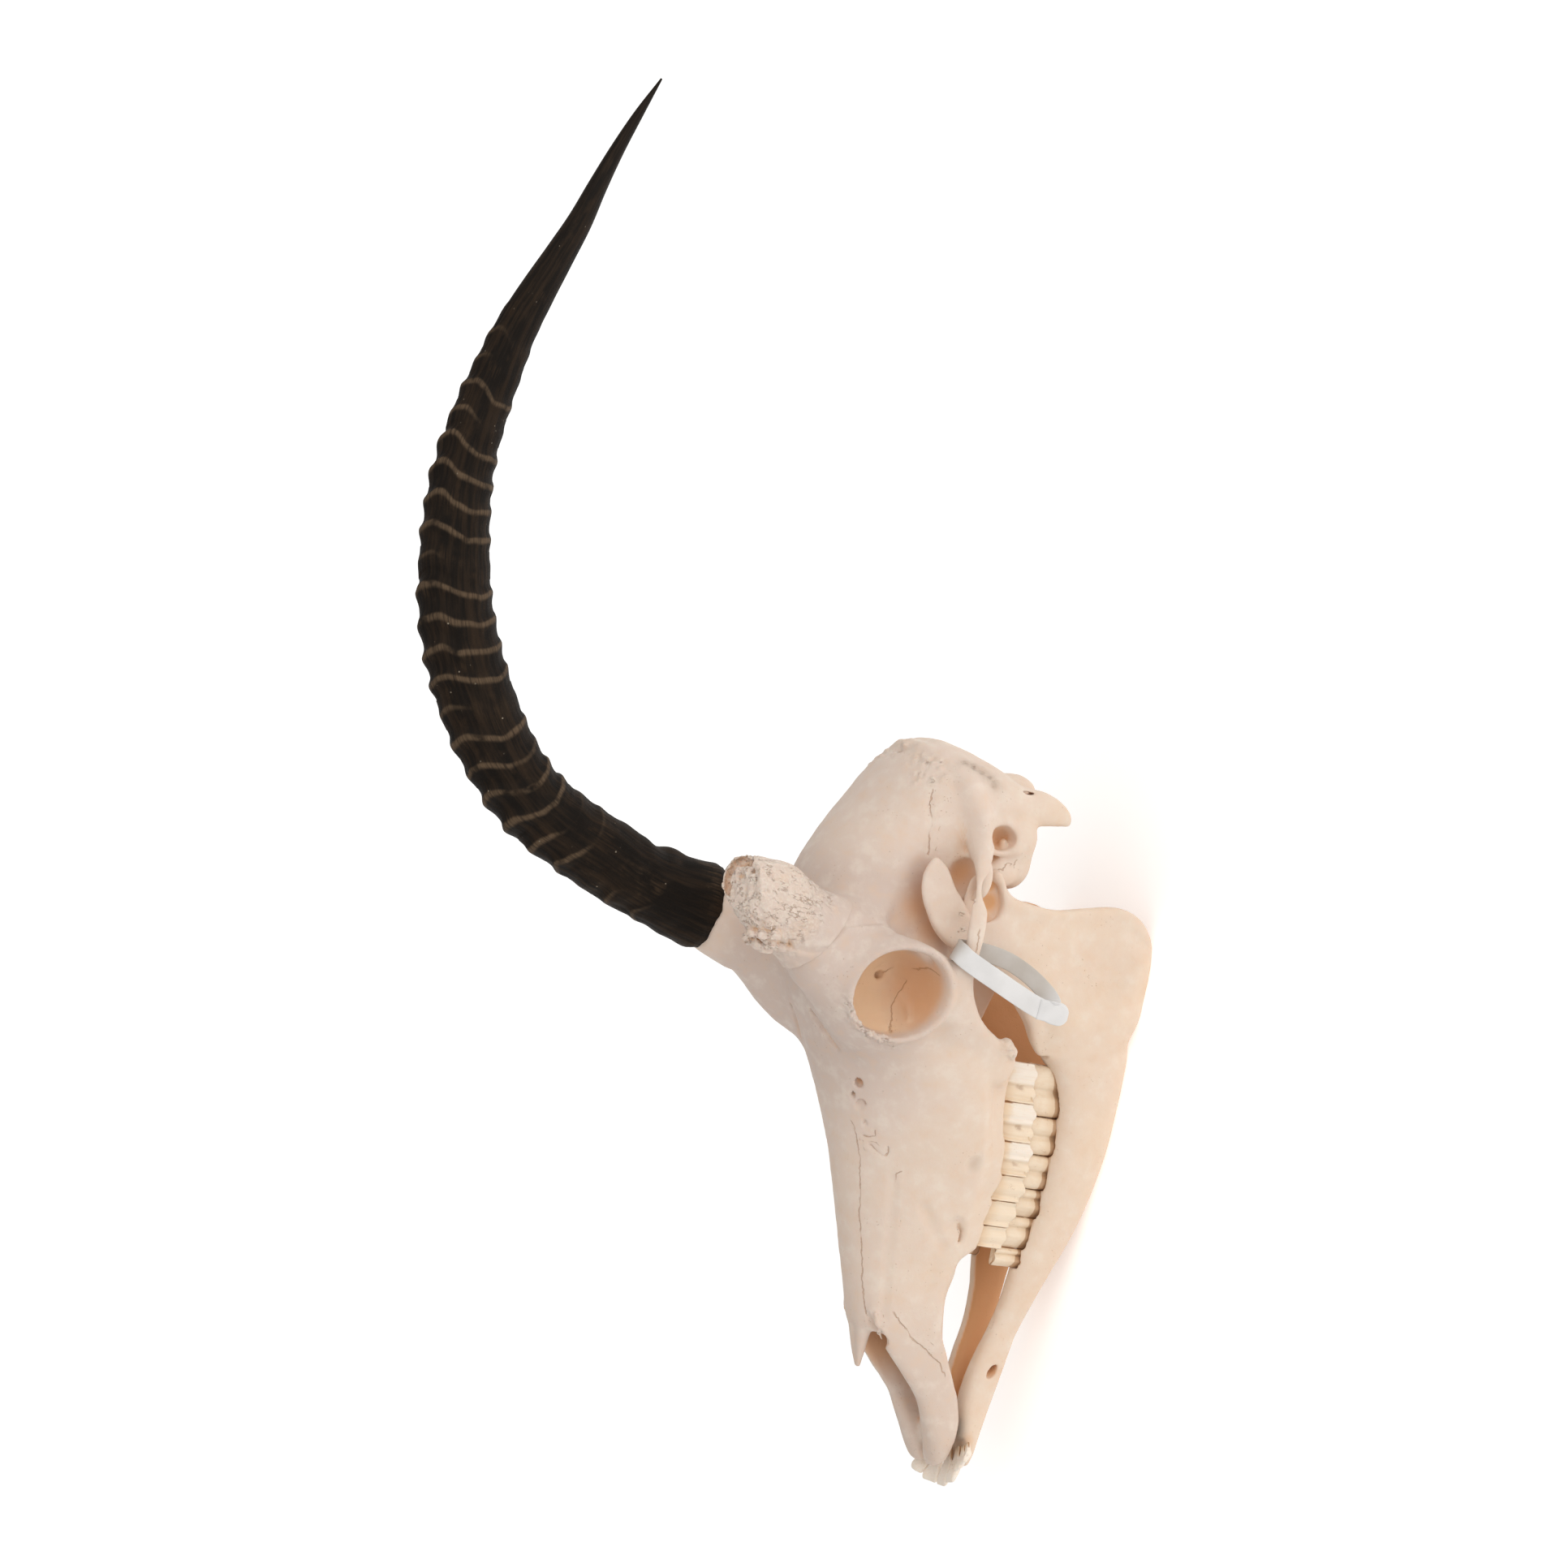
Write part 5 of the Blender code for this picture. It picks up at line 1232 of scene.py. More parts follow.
LOWER_PREMOLAR = ((-0.97, 0.62), (-0.72, 0.90), (-0.46, 0.84), (-0.34, 0.66), (-0.16, 0.82), (0.20, 1.0),
                  (0.52, 0.90), (0.82, 0.66),
                  (1.0, 0.42), (0.86, 0.12), (0.40, 0.0), (-0.2, 0.06), (-0.80, 0.04), (-1.0, 0.3))
BITE_ZIGZAG = ((-60, 0.3), (-66, 1.0), (-72, -1.1), (-77.6, 1.1), (-83, -1.2), (-88.6, 1.3), (-94.4, -1.2),
               (-100, 1.2), (-105.1, -1.2), (-110.8, 1.3), (-115.6, -1.2), (-120.5, 1.2), (-124.9, -1.2),
               (-130.6, 1.3), (-137.3, -1.2), (-144.8, 1.2), (-152, -1.2), (-159.4, 1.1), (-165.6, -0.9),
               (-173, 0.9), (-178, 0.2))


def cheek_tooth(row, gum, rear, front, outline, up):
    """Rings from a tooth's foot to its bite and on over the biting face. The outline swells from the foot to
    the crown and draws in at the bite's edge. The face is a shallow dish with a ridge along each lobe."""
    curve = closed_curve(outline, 4)
    middle, length = (rear + front) / 2, (rear - front) / 2
    t = np.concatenate([np.linspace(0, 0.94, 20), [0.965, 0.985, 1.0]])
    spread = np.interp(t, [0, 0.22, 0.6, 0.85, 0.965, 1.0], [0.90, 0.985, 1.0, 0.99, 0.96, 0.91])
    along, across = curve[:, 0], curve[:, 1]
    rings, depth = [], []
    outer, width = flowing(row, middle - along * length)
    y = middle - along * length
    foot = level(gum, middle) + up * (SOCKET - 0.6)
    bite = flowing(BITE, y)[0] + flowing(BITE_ZIGZAG, y)[0] + up * 0.35
    for at, wide in zip(t, spread):
        x = outer - width / 2 + (across - 0.5) * width * wide
        rings.append(np.stack([x, middle + (y - middle) * (0.82 + 0.19 * wide), foot + at * (bite - foot)],
                              1))
        depth.append(np.full(len(curve), at))
    rim = rings[-1]
    for shrink in (0.86, 0.70, 0.52, 0.34, 0.16):
        centre = rim.mean(0)
        ring = centre + (rim - centre) * shrink
        ridge = 0.9 * np.square(np.sin(3.1 * shrink)) * (0.5 + 0.5 * np.cos(2 * np.pi * along))
        ring[:, 2] += up * (0.5 * (1 - shrink) + ridge)
        rings.append(ring)
        depth.append(np.full(len(curve), 1.0))
    stain = smooth_step(np.abs(along), 0.90, 1.0)
    return np.array(rings), np.array(depth), np.broadcast_to(stain, (len(rings), len(curve)))


def make_cheek_teeth(paint):
    """Upper and lower cheek teeth of both sides, with soft noise on all but the biting face."""
    for side, word in SIDES:
        for jaw, teeth, row, gum, up, outlines in (
                ("upper", UPPER_TEETH, UPPER_ROW, UPPER_GUM, 1, (UPPER_PREMOLAR, UPPER_MOLAR)),
                ("lower", LOWER_TEETH, LOWER_ROW, LOWER_GUM, -1, (LOWER_PREMOLAR, LOWER_MOLAR))):
            for label, rear, front in teeth:
                molar = label.startswith("molar")
                outline = outlines[molar]
                rings, depth, stain = cheek_tooth(row, gum, rear, front, outline, up)
                points, quads, caps = tube(rings * (side, 1, 1))
                solid = np.concatenate([quads[:, [0, 1, 2]], quads[:, [0, 2, 3]]])
                wave = 0.16 * noise(points * (1, 1, 0.3), 2.4, 41) + 0.10 * noise(points, 7, 42)
                body = np.append(depth.ravel() < 0.97, [False, False])
                points = points + outward(points, solid) * (wave * body)[:, None]
                mesh = mesh_of(f"{word}_{jaw}_{label}_tooth", points, quads, caps)
                centre = (rear + front) / 2
                lobe = np.clip((points[:, 1] - centre) / (rear - front) * 2, -1, 1) if molar else -1.0
                above = (flowing(gum, points[:, 1])[0] - points[:, 2]) * up
                mark(mesh, crown=np.append(depth.ravel(), [0, 1]), stain=np.append(stain.ravel(), [0, 0.5]),
                     lobe=lobe, lower=float(up < 0), above=above)
                put(mesh, "tooth", paint, f"{word}_{jaw}_{label}")


def make_incisors(paint):
    """Spade-shaped teeth: ovals carried forward along each tooth, wide and thin at the worn edge."""
    a = circle(INCISOR_SIDES)
    out = np.array([-7, -4, -1, 1.5, 4, 6.5, 9, 11, 12.6, 13.6, 14.0])[:, None]
    for side, word in SIDES:
        for number, (x, fan, half) in enumerate(INCISORS, 1):
            wide = half * np.interp(out, [-7, 0, 4, 8, 11, 13.4, 14],
                                    [0.42, 0.60, 0.84, 1.0, 1.0, 0.92, 0.78])
            thick = np.interp(out, [-7, 0, 4, 9, 12.6, 14], [1.5, 1.9, 3.0, 3.0, 2.2, 1.0])
            lift = np.interp(out, [-7, 0, 7, 14], [46.4, 46.4, 46.9, 48.2])
            c, s = math.cos(math.radians(fan)), math.sin(math.radians(fan))
            u, v = squared(np.cos(a), 0.85), squared(np.sin(a), 0.85)
            v = np.where(v > 0, v * (0.75 - 0.35 * (1 - u * u)), v)
            reach = out * (1.0 if number < 3 else 0.7)
            y = -296.5 - reach * c + 11 * (x / 24) ** 2 + u * wide * s
            across = x + reach * s * 0.38 + u * wide * c
            bend = (4.0 if side < 0 else 0.8) * (np.minimum(across, 15) / 12) ** 2
            lift = lift + bend * smooth_step(out, 1.5, 12)
            rings = np.stack([across * side, y + 0 * v, lift + thick * v], -1)
            points, quads, caps = tube(rings)
            mesh = mesh_of(f"{word}_incisor_{number}_tooth", points, quads, caps)
            depth = np.broadcast_to(np.interp(out, [-7, 14], [0.2, 1.0]), rings.shape[:2]).ravel()
            edge = np.broadcast_to(np.abs(u) ** 8, rings.shape[:2]).ravel() * 0.55
            mark(mesh, crown=np.append(depth, [0, 1]), stain=np.append(edge, [0, 0]), lobe=1.0, lower=0.0)
            put(mesh, "tooth", paint, f"{word}_incisor_{number}")


# The horn sheath

SHEATH_LENGTH = 590.0
SHEATH_RINGS, SHEATH_SIDES = 700, 112
GRAIN_RADIUS = 20.0            # radius of the tube that the horn's grain is laid out on, in millimetres
# A chip's place and size: part of the length, and angle
NICK, NICK_SIZE = (0.118, 0.55), (0.006, 0.16)
RING_FIRST, RING_LAST, RING_COUNT = 0.03, 0.72, 24


def horn_frame(u):
    """The horn's centre, fore-and-aft and sideways directions and width at parts u of its length."""
    line = np.array(HORN_LINE)
    steps = np.linspace(0, 1, len(line))
    table = np.column_stack([steps, line])
    at = np.clip(u, 0, 1)
    x, y, z, width = (np.float64(c) for c in flowing(table, at))
    before, after = (np.float64(flowing(table, np.clip(at + d, 0, 1))[:3]).T for d in (-0.015, 0.015))
    run = unit(after - before)
    fore = unit(np.cross(np.array([1.0, 0, 0]), run))
    return np.stack([x, y, z], -1), fore, np.cross(run, fore), width


def sheath_spots(u, a, radius, length):
    """Places on a straight tube that stands for the sheath."""
    return np.stack([np.cos(a) * radius + 0 * u, np.sin(a) * radius + 0 * u, u * length + 0 * a],
                    -1).reshape(-1, 3)


def hump(a, middle, half):
    """1 at an angle, falling smoothly to 0 on both sides of it."""
    return np.exp(-np.square(np.angle(np.exp(1j * (a - middle))) / half))


def horn_relief(u, a):
    """How far the sheath's surface stands out at a part u of its length and an angle a round it, and how
    close it is to a ring's crest. Rings are rounded steps, steeper towards the tip, strongest in front. They
    arch towards the tip on the inner side of the front, and fade into folds near the base."""
    spot = sheath_spots(u, a, 2.2, 26)
    wander = noise(spot, 1.0, 51, 2).reshape(np.shape(u + a))
    arch = 0.010 * hump(a, 1.0, 0.55) - 0.006 * hump(a, -0.3, 0.7)
    phase = (u - arch - 0.0025 * wander - RING_FIRST) / (RING_LAST - RING_FIRST) * RING_COUNT
    near = phase - np.floor(phase)
    crest = np.where(near < 0.38, near / 0.38, (1 - near) / 0.62)
    crest = 1 - crest * crest * (3 - 2 * crest)
    number = np.floor(phase + 0.5)
    strength = 0.75 + 0.45 * np.sin(number * 2.4) * np.sin(number * 1.3 + 1)
    zone = smooth_step(u, 0.10, 0.20) * (1 - smooth_step(u, 0.60, 0.76))
    zone = zone + 0.35 * (1 - smooth_step(u, 0.12, 0.2)) * smooth_step(u, 0.02, 0.06)
    front = 0.55 + 0.60 * np.maximum(np.sin(a), 0) ** 1.2 + 0.12 * np.maximum(-np.sin(a), 0)
    rise = 2.2 * zone * strength * front * (np.power(crest, 1.5) - 0.35)
    folds = noise(spot * (0.5, 0.5, 1.5), 1.0, 55, 2).reshape(rise.shape)
    folds = (1 - smooth_step(u, 0.12, 0.27)) * 1.2 * folds
    return rise + folds, np.power(crest, 5) * smooth_step(zone * strength * front, 0.12, 0.5)


def make_sheath(paint):
    """Ovals carried along the horn's curve from its tip to its mouth with the relief of its rings, over the
    broken lip and up inside to the end of the hollow."""
    u = np.linspace(1, 0, SHEATH_RINGS)[:, None] ** 1.02
    a = circle(SHEATH_SIDES)[None, :]
    centre, fore, side, width = horn_frame(u[:, 0])
    radius = width[:, None] / 2
    rise, crest = horn_relief(u, a)
    grain = noise(sheath_spots(u, a, GRAIN_RADIUS, SHEATH_LENGTH / 26), 1.6, 61, 3).reshape(rise.shape)
    rise = rise + 0.16 * grain * (1 - smooth_step(u, 0.7, 0.9))
    rise = rise * smooth_step(radius, 1.0, 9.0)
    nick = np.square((u - NICK[0]) / NICK_SIZE[0]) + np.square((a - NICK[1]) / NICK_SIZE[1])
    rise = rise - 2.0 * np.exp(-nick)
    lip = 1.3 * smooth_step(0.008 - u, 0, 0.008)
    across = radius * HORN_BREADTH + rise * 0.8 - lip
    deep = radius * HORN_DEPTH + rise - lip
    rings = carried(centre, side, fore, across * np.cos(a), deep * np.sin(a))
    ragged = 0.8 * noise(np.stack([np.cos(a[0]) * 3, np.sin(a[0]) * 3, 0 * a[0]], 1), 1.0, 66, 3)
    run = np.cross(fore, side)
    rings = rings + run[:, None] * (np.exp(-u / 0.01) * ragged[None])[..., None]
    inner_u = np.concatenate([[0.002], np.linspace(0.006, SHEATH_SOCKET, 30)])[:, None]
    centre, fore, side, width = horn_frame(inner_u[:, 0])
    shrink = SHEATH_INNER * (1 - 0.30 * inner_u / SHEATH_SOCKET)
    shrink[0] = 0.88
    radius = width[:, None] / 2 * shrink
    inner = carried(centre, side, fore, radius * HORN_BREADTH * np.cos(a), radius * HORN_DEPTH * np.sin(a))
    points, quads, caps = tube(np.concatenate([rings, inner]))
    mesh = mesh_of("horn_sheath_skin", points, quads, caps)
    length = np.append(u[:, 0], -inner_u[:, 0])[:, None] + 0 * a
    crest = np.concatenate([crest, np.zeros((len(inner), SHEATH_SIDES))])
    high = np.concatenate([rise, np.full((len(inner), SHEATH_SIDES), -1.0)])
    mark(mesh, length=np.append(length.ravel(), [1, -SHEATH_SOCKET]), crest=np.append(crest.ravel(), [0, 0]),
         high=np.append(high.ravel(), [0, 0]))
    ends = [[0, 0, SHEATH_LENGTH], [0, 0, 0]]
    grain = np.append(sheath_spots(length, a, GRAIN_RADIUS, SHEATH_LENGTH), ends, axis=0)
    spot = mesh.attributes.new("grain", "FLOAT_VECTOR", "POINT")
    spot.data.foreach_set("vector", grain.astype(np.float32).ravel())
    put(mesh, "horn", paint, "horn_sheath")


# The strap tag

def make_strap(paint):
    """A flat band with rounded edges carried round a closed path, wider and thicker at its lock."""
    path = closed_curve(STRAP, 12)
    middle, wide = path[:, :3], path[:, 3] * STRAP_HALF
    run = unit(np.roll(middle, -1, 0) - np.roll(middle, 1, 0))
    across = np.array([0.0, 0.92, -0.39])
    across = unit(across - run * (run @ across)[:, None])
    out = np.cross(across, run)
    a = circle(STRAP_SIDES)
    u, v = squared(np.cos(a), 0.35), squared(np.sin(a), 0.35)
    thick = STRAP_THICK / 2 * (1 + 0.5 * smooth_step(path[:, 3], 1.05, 1.4))
    rings = carried(middle, across, out, wide[:, None] * u, thick[:, None] * v)
    quads = lattice_faces(len(rings) + 1, STRAP_SIDES) % (len(rings) * STRAP_SIDES)
    points = rings.reshape(-1, 3)
    quads, _ = facing_out(points, quads, quads[:0, :3])
    lock, lock_quads, lock_caps = strap_lock(a)
    mesh = mesh_of("strap_tag", np.concatenate([points, lock]), quads, lock_quads + len(points),
                   lock_caps + len(points))
    # Painted shade on the stretch of the band next to the jaw
    turned = smooth_step(-middle[:, 0], -79.0, -73.0)
    mark(mesh, inside=np.append(np.repeat(turned, STRAP_SIDES), np.zeros(len(lock))))
    put(mesh, "strap", paint, "tag_strap")


def strap_lock(a):
    """The lock's flat tab: rounded oblongs of changing width carried along it, narrow where it leaves the
    band and half round at its end."""
    start, stop = np.array(LOCK_FROM), np.array(LOCK_TO)
    run = unit(stop - start)
    across = unit(np.cross(run, (1.0, 0, 0)))
    out = np.cross(across, run)
    length = np.linalg.norm(stop - start)
    t = np.concatenate([np.linspace(0, 0.62, 14), 1 - 0.38 * np.cos(np.linspace(0.15, 1.5, 12))])
    gap = np.clip((t * length - (length - LOCK_HALF)) / LOCK_HALF, 0, 0.999)
    wide = LOCK_HALF * np.sqrt(1 - gap ** 2) * (0.88 + 0.12 * smooth_step(t, 0.25, 0.50))
    thick = LOCK_THICK / 2 * (0.35 + 0.65 * smooth_step(t, 0.02, 0.3)) * (1 - 0.5 * gap ** 4)
    u, v = squared(np.cos(a), 0.45), squared(np.sin(a), 0.45)
    middle = start + (stop - start) * t[:, None]
    return tube(carried(middle, across[None], out[None], wide[:, None] * u, thick[:, None] * v))


# Materials

class Wire:
    """A socket of a material's nodes. Arithmetic on wires and numbers adds the Math nodes for it."""

    def __init__(self, paint, socket):
        self.paint, self.socket = paint, socket

    def math(self, operation, *values):
        return self.paint.node("ShaderNodeMath", {"operation": operation}, dict(enumerate(values)))

    def __add__(self, other):
        return self.math("ADD", self, other)

    def __sub__(self, other):
        return self.math("SUBTRACT", self, other)

    def __rsub__(self, other):
        return self.math("SUBTRACT", other, self)

    def __mul__(self, other):
        return self.math("MULTIPLY", self, other)

    __radd__ = __add__

    def size(self):
        return self.math("ABSOLUTE", self)

    def between(self, low, high):
        """0 at low, 1 at high and an S-curve between. low may be the greater."""
        if low > high:
            return 1 - self.between(high, low)
        return self.paint.node("ShaderNodeMapRange", {"interpolation_type": "SMOOTHSTEP"},
                               {"Value": self, "From Min": low, "From Max": high})


class Paint:
    """A material under construction. What is the same all over is set on its shader's own sockets."""

    def __init__(self, name, constants):
        self.material = bpy.data.materials.new(name)
        self.material.use_nodes = True
        self.tree = self.material.node_tree
        self.shader = self.tree.nodes["Principled BSDF"]
        for socket, value in constants.items():
            self.shader.inputs[socket].default_value = value

    def node(self, kind, settings=None, values=None, out=0):
        made = self.tree.nodes.new(kind)
        for key, value in (settings or {}).items():
            setattr(made, key, value)
        for key, value in (values or {}).items():
            socket = made.inputs[key]
            if isinstance(value, Wire):
                self.tree.links.new(value.socket, socket)
            elif socket.type == "RGBA":
                socket.default_value = (*value, 1.0)
            else:
                socket.default_value = value
        return Wire(self, made.outputs[out])

    def place(self):
        return self.node("ShaderNodeTexCoord", out="Object")

    def attribute(self, name):
        return self.node("ShaderNodeAttribute", {"attribute_name": name}, out="Fac")

    def direction(self, name):
        return self.node("ShaderNodeAttribute", {"attribute_name": name}, out="Vector")

    def stretched(self, vector, factors):
        return self.node("ShaderNodeVectorMath", {"operation": "MULTIPLY"}, {0: vector, 1: factors})

    def cloud(self, vector, scale, detail=3.0, rough=0.5):
        """Soft random values about 0.5."""
        return self.node("ShaderNodeTexNoise", None,
                         {"Vector": vector, "Scale": scale, "Detail": detail, "Roughness": rough})

    def cells(self, vector, scale):
        """Distance to the nearest of random points, one in each cell."""
        return self.node("ShaderNodeTexVoronoi", None, {"Vector": vector, "Scale": scale})

    def mix(self, factor, a, b):
        return self.node("ShaderNodeMix", {"data_type": "RGBA"}, {0: factor, 6: a, 7: b}, out=2)

    def lay(self, factor, colour):
        """Lay a colour over the colour so far."""
        self.colour = self.mix(factor, self.colour, colour)

    def bump(self, height):
        """Bump whose height is in millimetres."""
        return self.node("ShaderNodeBump", None, {"Distance": MM, "Height": height})

    def finish(self, roughness, normal=None):
        for socket, wire in (("Base Color", self.colour), ("Roughness", roughness), ("Normal", normal)):
            if wire is not None:
                self.tree.links.new(wire.socket, self.shader.inputs[socket])
        return self.material


PER_MM = 1000.0                # cells of a texture to the metre, for one cell to the millimetre


def bone_paint(colours):
    """Dry bone: ivory that is cooler high up and warmer low down, partly its own tone and partly a painted
    tint of the light, clouded and speckled, with painted shade from tan to brown in its hollows, creases and
    inner faces and on the forehead and nose, painted light on the orbits' upper walls, dark sutures, pores,
    and chalky crumbled patches."""
    p = Paint("Dry bone", {"Specular IOR Level": 0.32, "Subsurface Weight": 0.10,
                           "Subsurface Radius": (0.9, 0.45, 0.25),
                           "Subsurface Scale": 0.004})
    at = p.place()
    broad, middle = p.cloud(at, PER_MM / 48, 2), p.cloud(at, PER_MM / 11, 4, 0.6)
    fine = p.cloud(at, PER_MM / 1.5, 5, 0.65)
    height = p.node("ShaderNodeSeparateXYZ", None, {0: at}, out=2)
    hollow, crease, crumb = p.attribute("hollow"), p.attribute("crease"), p.attribute("crumb")
    # Cooler high up and warmer low down: partly the bone's own tone, partly a painted tint of the light
    p.colour = p.mix(height.between(0.03, 0.17) * 0.75 + broad.between(0.35, 0.65) * 0.25, colours.warm,
                     colours.cool)
    # Painted shade on the forehead, round the horns and on the nose
    p.lay(p.attribute("shade") * 0.75, colours.shaded_bone)
    p.lay(middle.between(0.48, 0.72) * 0.35, colours.pale)
    p.lay(middle.between(0.50, 0.28) * 0.28, colours.tan)
    # Painted shade in hollows: tan in shallow ones, amber in deep ones
    deep = hollow.between(0.54, 0.70)
    p.lay(deep * (0.45 + broad * 0.5), colours.tan)
    p.lay(hollow.between(0.62, 0.86) * 0.60, colours.amber_shade)
    # Painted shade on inner faces, the orbits' lower parts, the temporal fossae, holes and slots; browner
    # where deepest on the jaws
    inner = p.attribute("inner")
    p.lay(inner * (0.50 + broad * 0.5), colours.amber_shade)
    p.lay(inner.between(1.0, 1.7) * 0.22, colours.brown)
    # Painted light on the orbits' upper walls
    p.lay(p.attribute("glow"), colours.painted_light_honey)
    # Creases: partly real dirt and partly painted shade, amber and brown in the tightest
    dirt = crease.between(0.60, 0.86) * middle.between(0.30, 0.62) * (1 - crumb * 0.8)
    p.lay(dirt * 0.75, colours.amber_shade)
    p.lay(crease.between(0.74, 0.95) * fine.between(0.40, 0.60) * 0.5, colours.brown)
    p.lay(crumb * fine.between(0.45, 0.65) * 0.5, colours.pale)
    veins = (p.cloud(p.stretched(at, (1.0, 0.8, 0.40)), PER_MM / 3.2, 3, 0.6) - 0.5).size()
    split = veins.between(0.020, 0.004) * p.cloud(at, PER_MM / 5.5, 2).between(0.44, 0.58)
    split = split * crumb.between(0.35, 0.9)
    p.lay(split * 0.5, colours.brown)
    wiggle = (p.cloud(at, PER_MM / 2.6, 3, 0.6) - 0.5) * 2.4 + (p.cloud(at, PER_MM / 9, 2) - 0.5) * 2.5
    gap = (p.attribute("seam") + wiggle).size()
    line = p.attribute("passing").between(0.4, 0.9) * gap.between(0.50, 0.12)
    line = line * p.cloud(at, PER_MM / 14, 2).between(0.30, 0.5)
    p.lay(line * 0.52, colours.brown)
    pore = p.cells(at, PER_MM / 2.0).between(0.16, 0.05) * p.cloud(at, PER_MM / 17, 2).between(0.52, 0.66)
    p.lay(pore * 0.6, colours.brown)
    speck = p.cells(at, PER_MM / 9.0).between(0.055, 0.02)
    p.lay(speck * 0.5, colours.dirt)
    p.lay(p.attribute("smudge") * (0.25 + middle * 0.4), colours.dirt)
    p.lay(p.attribute("gum") * middle.between(0.25, 0.6) * 0.8, colours.stain)
    rise = fine * 0.09 + middle * 0.12 + crumb * fine * 0.5 - line * 0.35 - pore * 0.25 - split * 0.5
    return p.finish(0.50 + fine * 0.22 + deep * 0.1, p.bump(rise))


def tooth_paint(colours):
    """Enamel with fine ribs up the crown, darker towards the root, brown in its folds and at the gum."""
    p = Paint("Tooth enamel", {"Specular IOR Level": 0.5, "Subsurface Weight": 0.12,
                               "Subsurface Radius": (0.8, 0.6, 0.4),
                               "Subsurface Scale": 0.002})
    at = p.place()
    crown, fold, lobe, lower = (p.attribute(name) for name in ("crown", "stain", "lobe", "lower"))
    ribs = p.cloud(p.stretched(at, (1.0, 1.0, 0.12)), PER_MM / 1.1, 3, 0.6)
    middle, fine = p.cloud(at, PER_MM / 5, 4, 0.6), p.cloud(at, PER_MM / 0.9, 3)
    p.colour = p.mix(crown.between(0.30, 0.62), colours.root, colours.enamel)
    # Painted light: whiter rear lobes of the upper molars and incisor crowns
    lit = (1 - lower) * lobe.between(-0.25, 0.10) * (crown + middle * 0.3).between(0.40, 0.62)
    p.lay(lit * 0.8, colours.white)
    p.lay(ribs.between(0.42, 0.66) * 0.22, colours.root)
    p.lay(lower * middle.between(0.42, 0.62) * 0.35, colours.root)
    p.lay(fold.between(0.45, 0.95) * middle.between(0.34, 0.56) * (0.3 + lower * 0.45), colours.stain)
    p.lay(fold.between(0.05, 0.6) * crown.between(0.46, 0.36) * (1 - lower) * 0.85, colours.stain)
    p.lay((p.attribute("above") + middle * 1.8).between(2.0, 1.2) * lower * 0.65, colours.stain)
    blotch = (lobe + 0.24).size().between(0.24, 0.06) * (crown - 0.64).size().between(0.14, 0.03)
    p.lay(blotch * (1 - lower) * middle.between(0.36, 0.60) * 0.45, colours.stain)
    p.lay(middle.between(0.60, 0.70) * fine.between(0.45, 0.6) * 0.3, colours.stain)
    return p.finish(0.26 + ribs * 0.22 + fold * 0.15, p.bump(ribs * 0.06 + fine * 0.05 + middle * 0.15))


def horn_paint(colours):
    """Horn: near black, with fibres along it, tan and grey-brown where its ring crests are worn."""
    p = Paint("Ringed horn", {"Specular IOR Level": 0.13})
    grain = p.direction("grain")
    length, crest, high = p.attribute("length"), p.attribute("crest"), p.attribute("high")
    fibre = p.cloud(p.stretched(grain, (1.0, 1.0, 0.05)), 0.9, 5, 0.7)
    streak = p.cloud(p.stretched(grain, (0.35, 0.35, 0.03)), 0.8, 3, 0.6)
    blotch, fine = p.cloud(grain, 0.07, 3, 0.6), p.cloud(grain, 1.2, 4, 0.7)
    p.colour = p.mix(streak.between(0.40, 0.70) * 0.6, colours.black, colours.umber)
    p.lay(blotch.between(0.45, 0.70) * fibre.between(0.40, 0.62) * 0.8, colours.umber)
    worn = crest.between(0.25, 0.95) * fibre.between(0.20, 0.62) * blotch.between(0.26, 0.50)
    p.lay(worn * 0.85, colours.crest)
    dust = high.between(-0.2, 1.6) * blotch.between(0.42, 0.66) * fibre.between(0.45, 0.62)
    p.lay(dust * 0.35, colours.crest)
    p.lay(p.cells(grain, 0.16).between(0.10, 0.05) * blotch.between(0.5, 0.62) * 0.8, colours.fleck)
    p.lay(length.between(0.0, -0.004), colours.umber)
    rise = fibre * 0.30 + streak * 0.35 + fine * 0.10
    smooth = length.between(0.70, 0.95)
    return p.finish(0.52 + fibre * 0.25 - smooth * 0.20, p.bump(rise * (1 - smooth * 0.6)))


def strap_paint(colours):
    """White plastic, faintly scuffed along the band, a little yellowed in clouds, with painted shade on the
    stretch next to the jaw.
    """
    p = Paint("Strap plastic", {"Specular IOR Level": 0.45, "Subsurface Weight": 0.15,
                                "Subsurface Radius": (1.0, 1.0, 1.0),
                                "Subsurface Scale": 0.0015})
    at = p.place()
    cloud = p.cloud(at, PER_MM / 14, 3)
    scuff = p.cloud(p.stretched(at, (1.0, 2.2, 0.4)), PER_MM / 1.4, 4, 0.7)
    p.colour = p.mix(cloud.between(0.35, 0.7) * 0.5, colours.white, colours.grey)
    p.lay(scuff.between(0.58, 0.72) * 0.3, colours.grey)
    # Painted shade on the stretch of the band next to the jaw
    p.lay(p.attribute("inside") * (0.55 + cloud * 0.5), colours.shaded_plastic)
    return p.finish(0.30 + scuff * 0.25, p.bump(scuff * 0.04 + cloud * 0.1))


def floor_paint(colour):
    """Pale, faintly clouded and faintly glowing."""
    p = Paint("Pale floor", {"Specular IOR Level": 0.1, "Emission Color": (1.0, 1.0, 1.0, 1.0),
                             "Emission Strength": 0.40})
    cloud = p.cloud(p.place(), 1.5, 2)
    p.colour = p.mix(cloud * 0.03, colour, (0.92, 0.915, 0.91))
    return p.finish(0.85 + cloud * 0.05)


# Settings

def colour_property(label, words, value):
    return FloatVectorProperty(name=label, description=words, default=value, subtype="COLOR", size=3, min=0.0,
                               max=1.0)


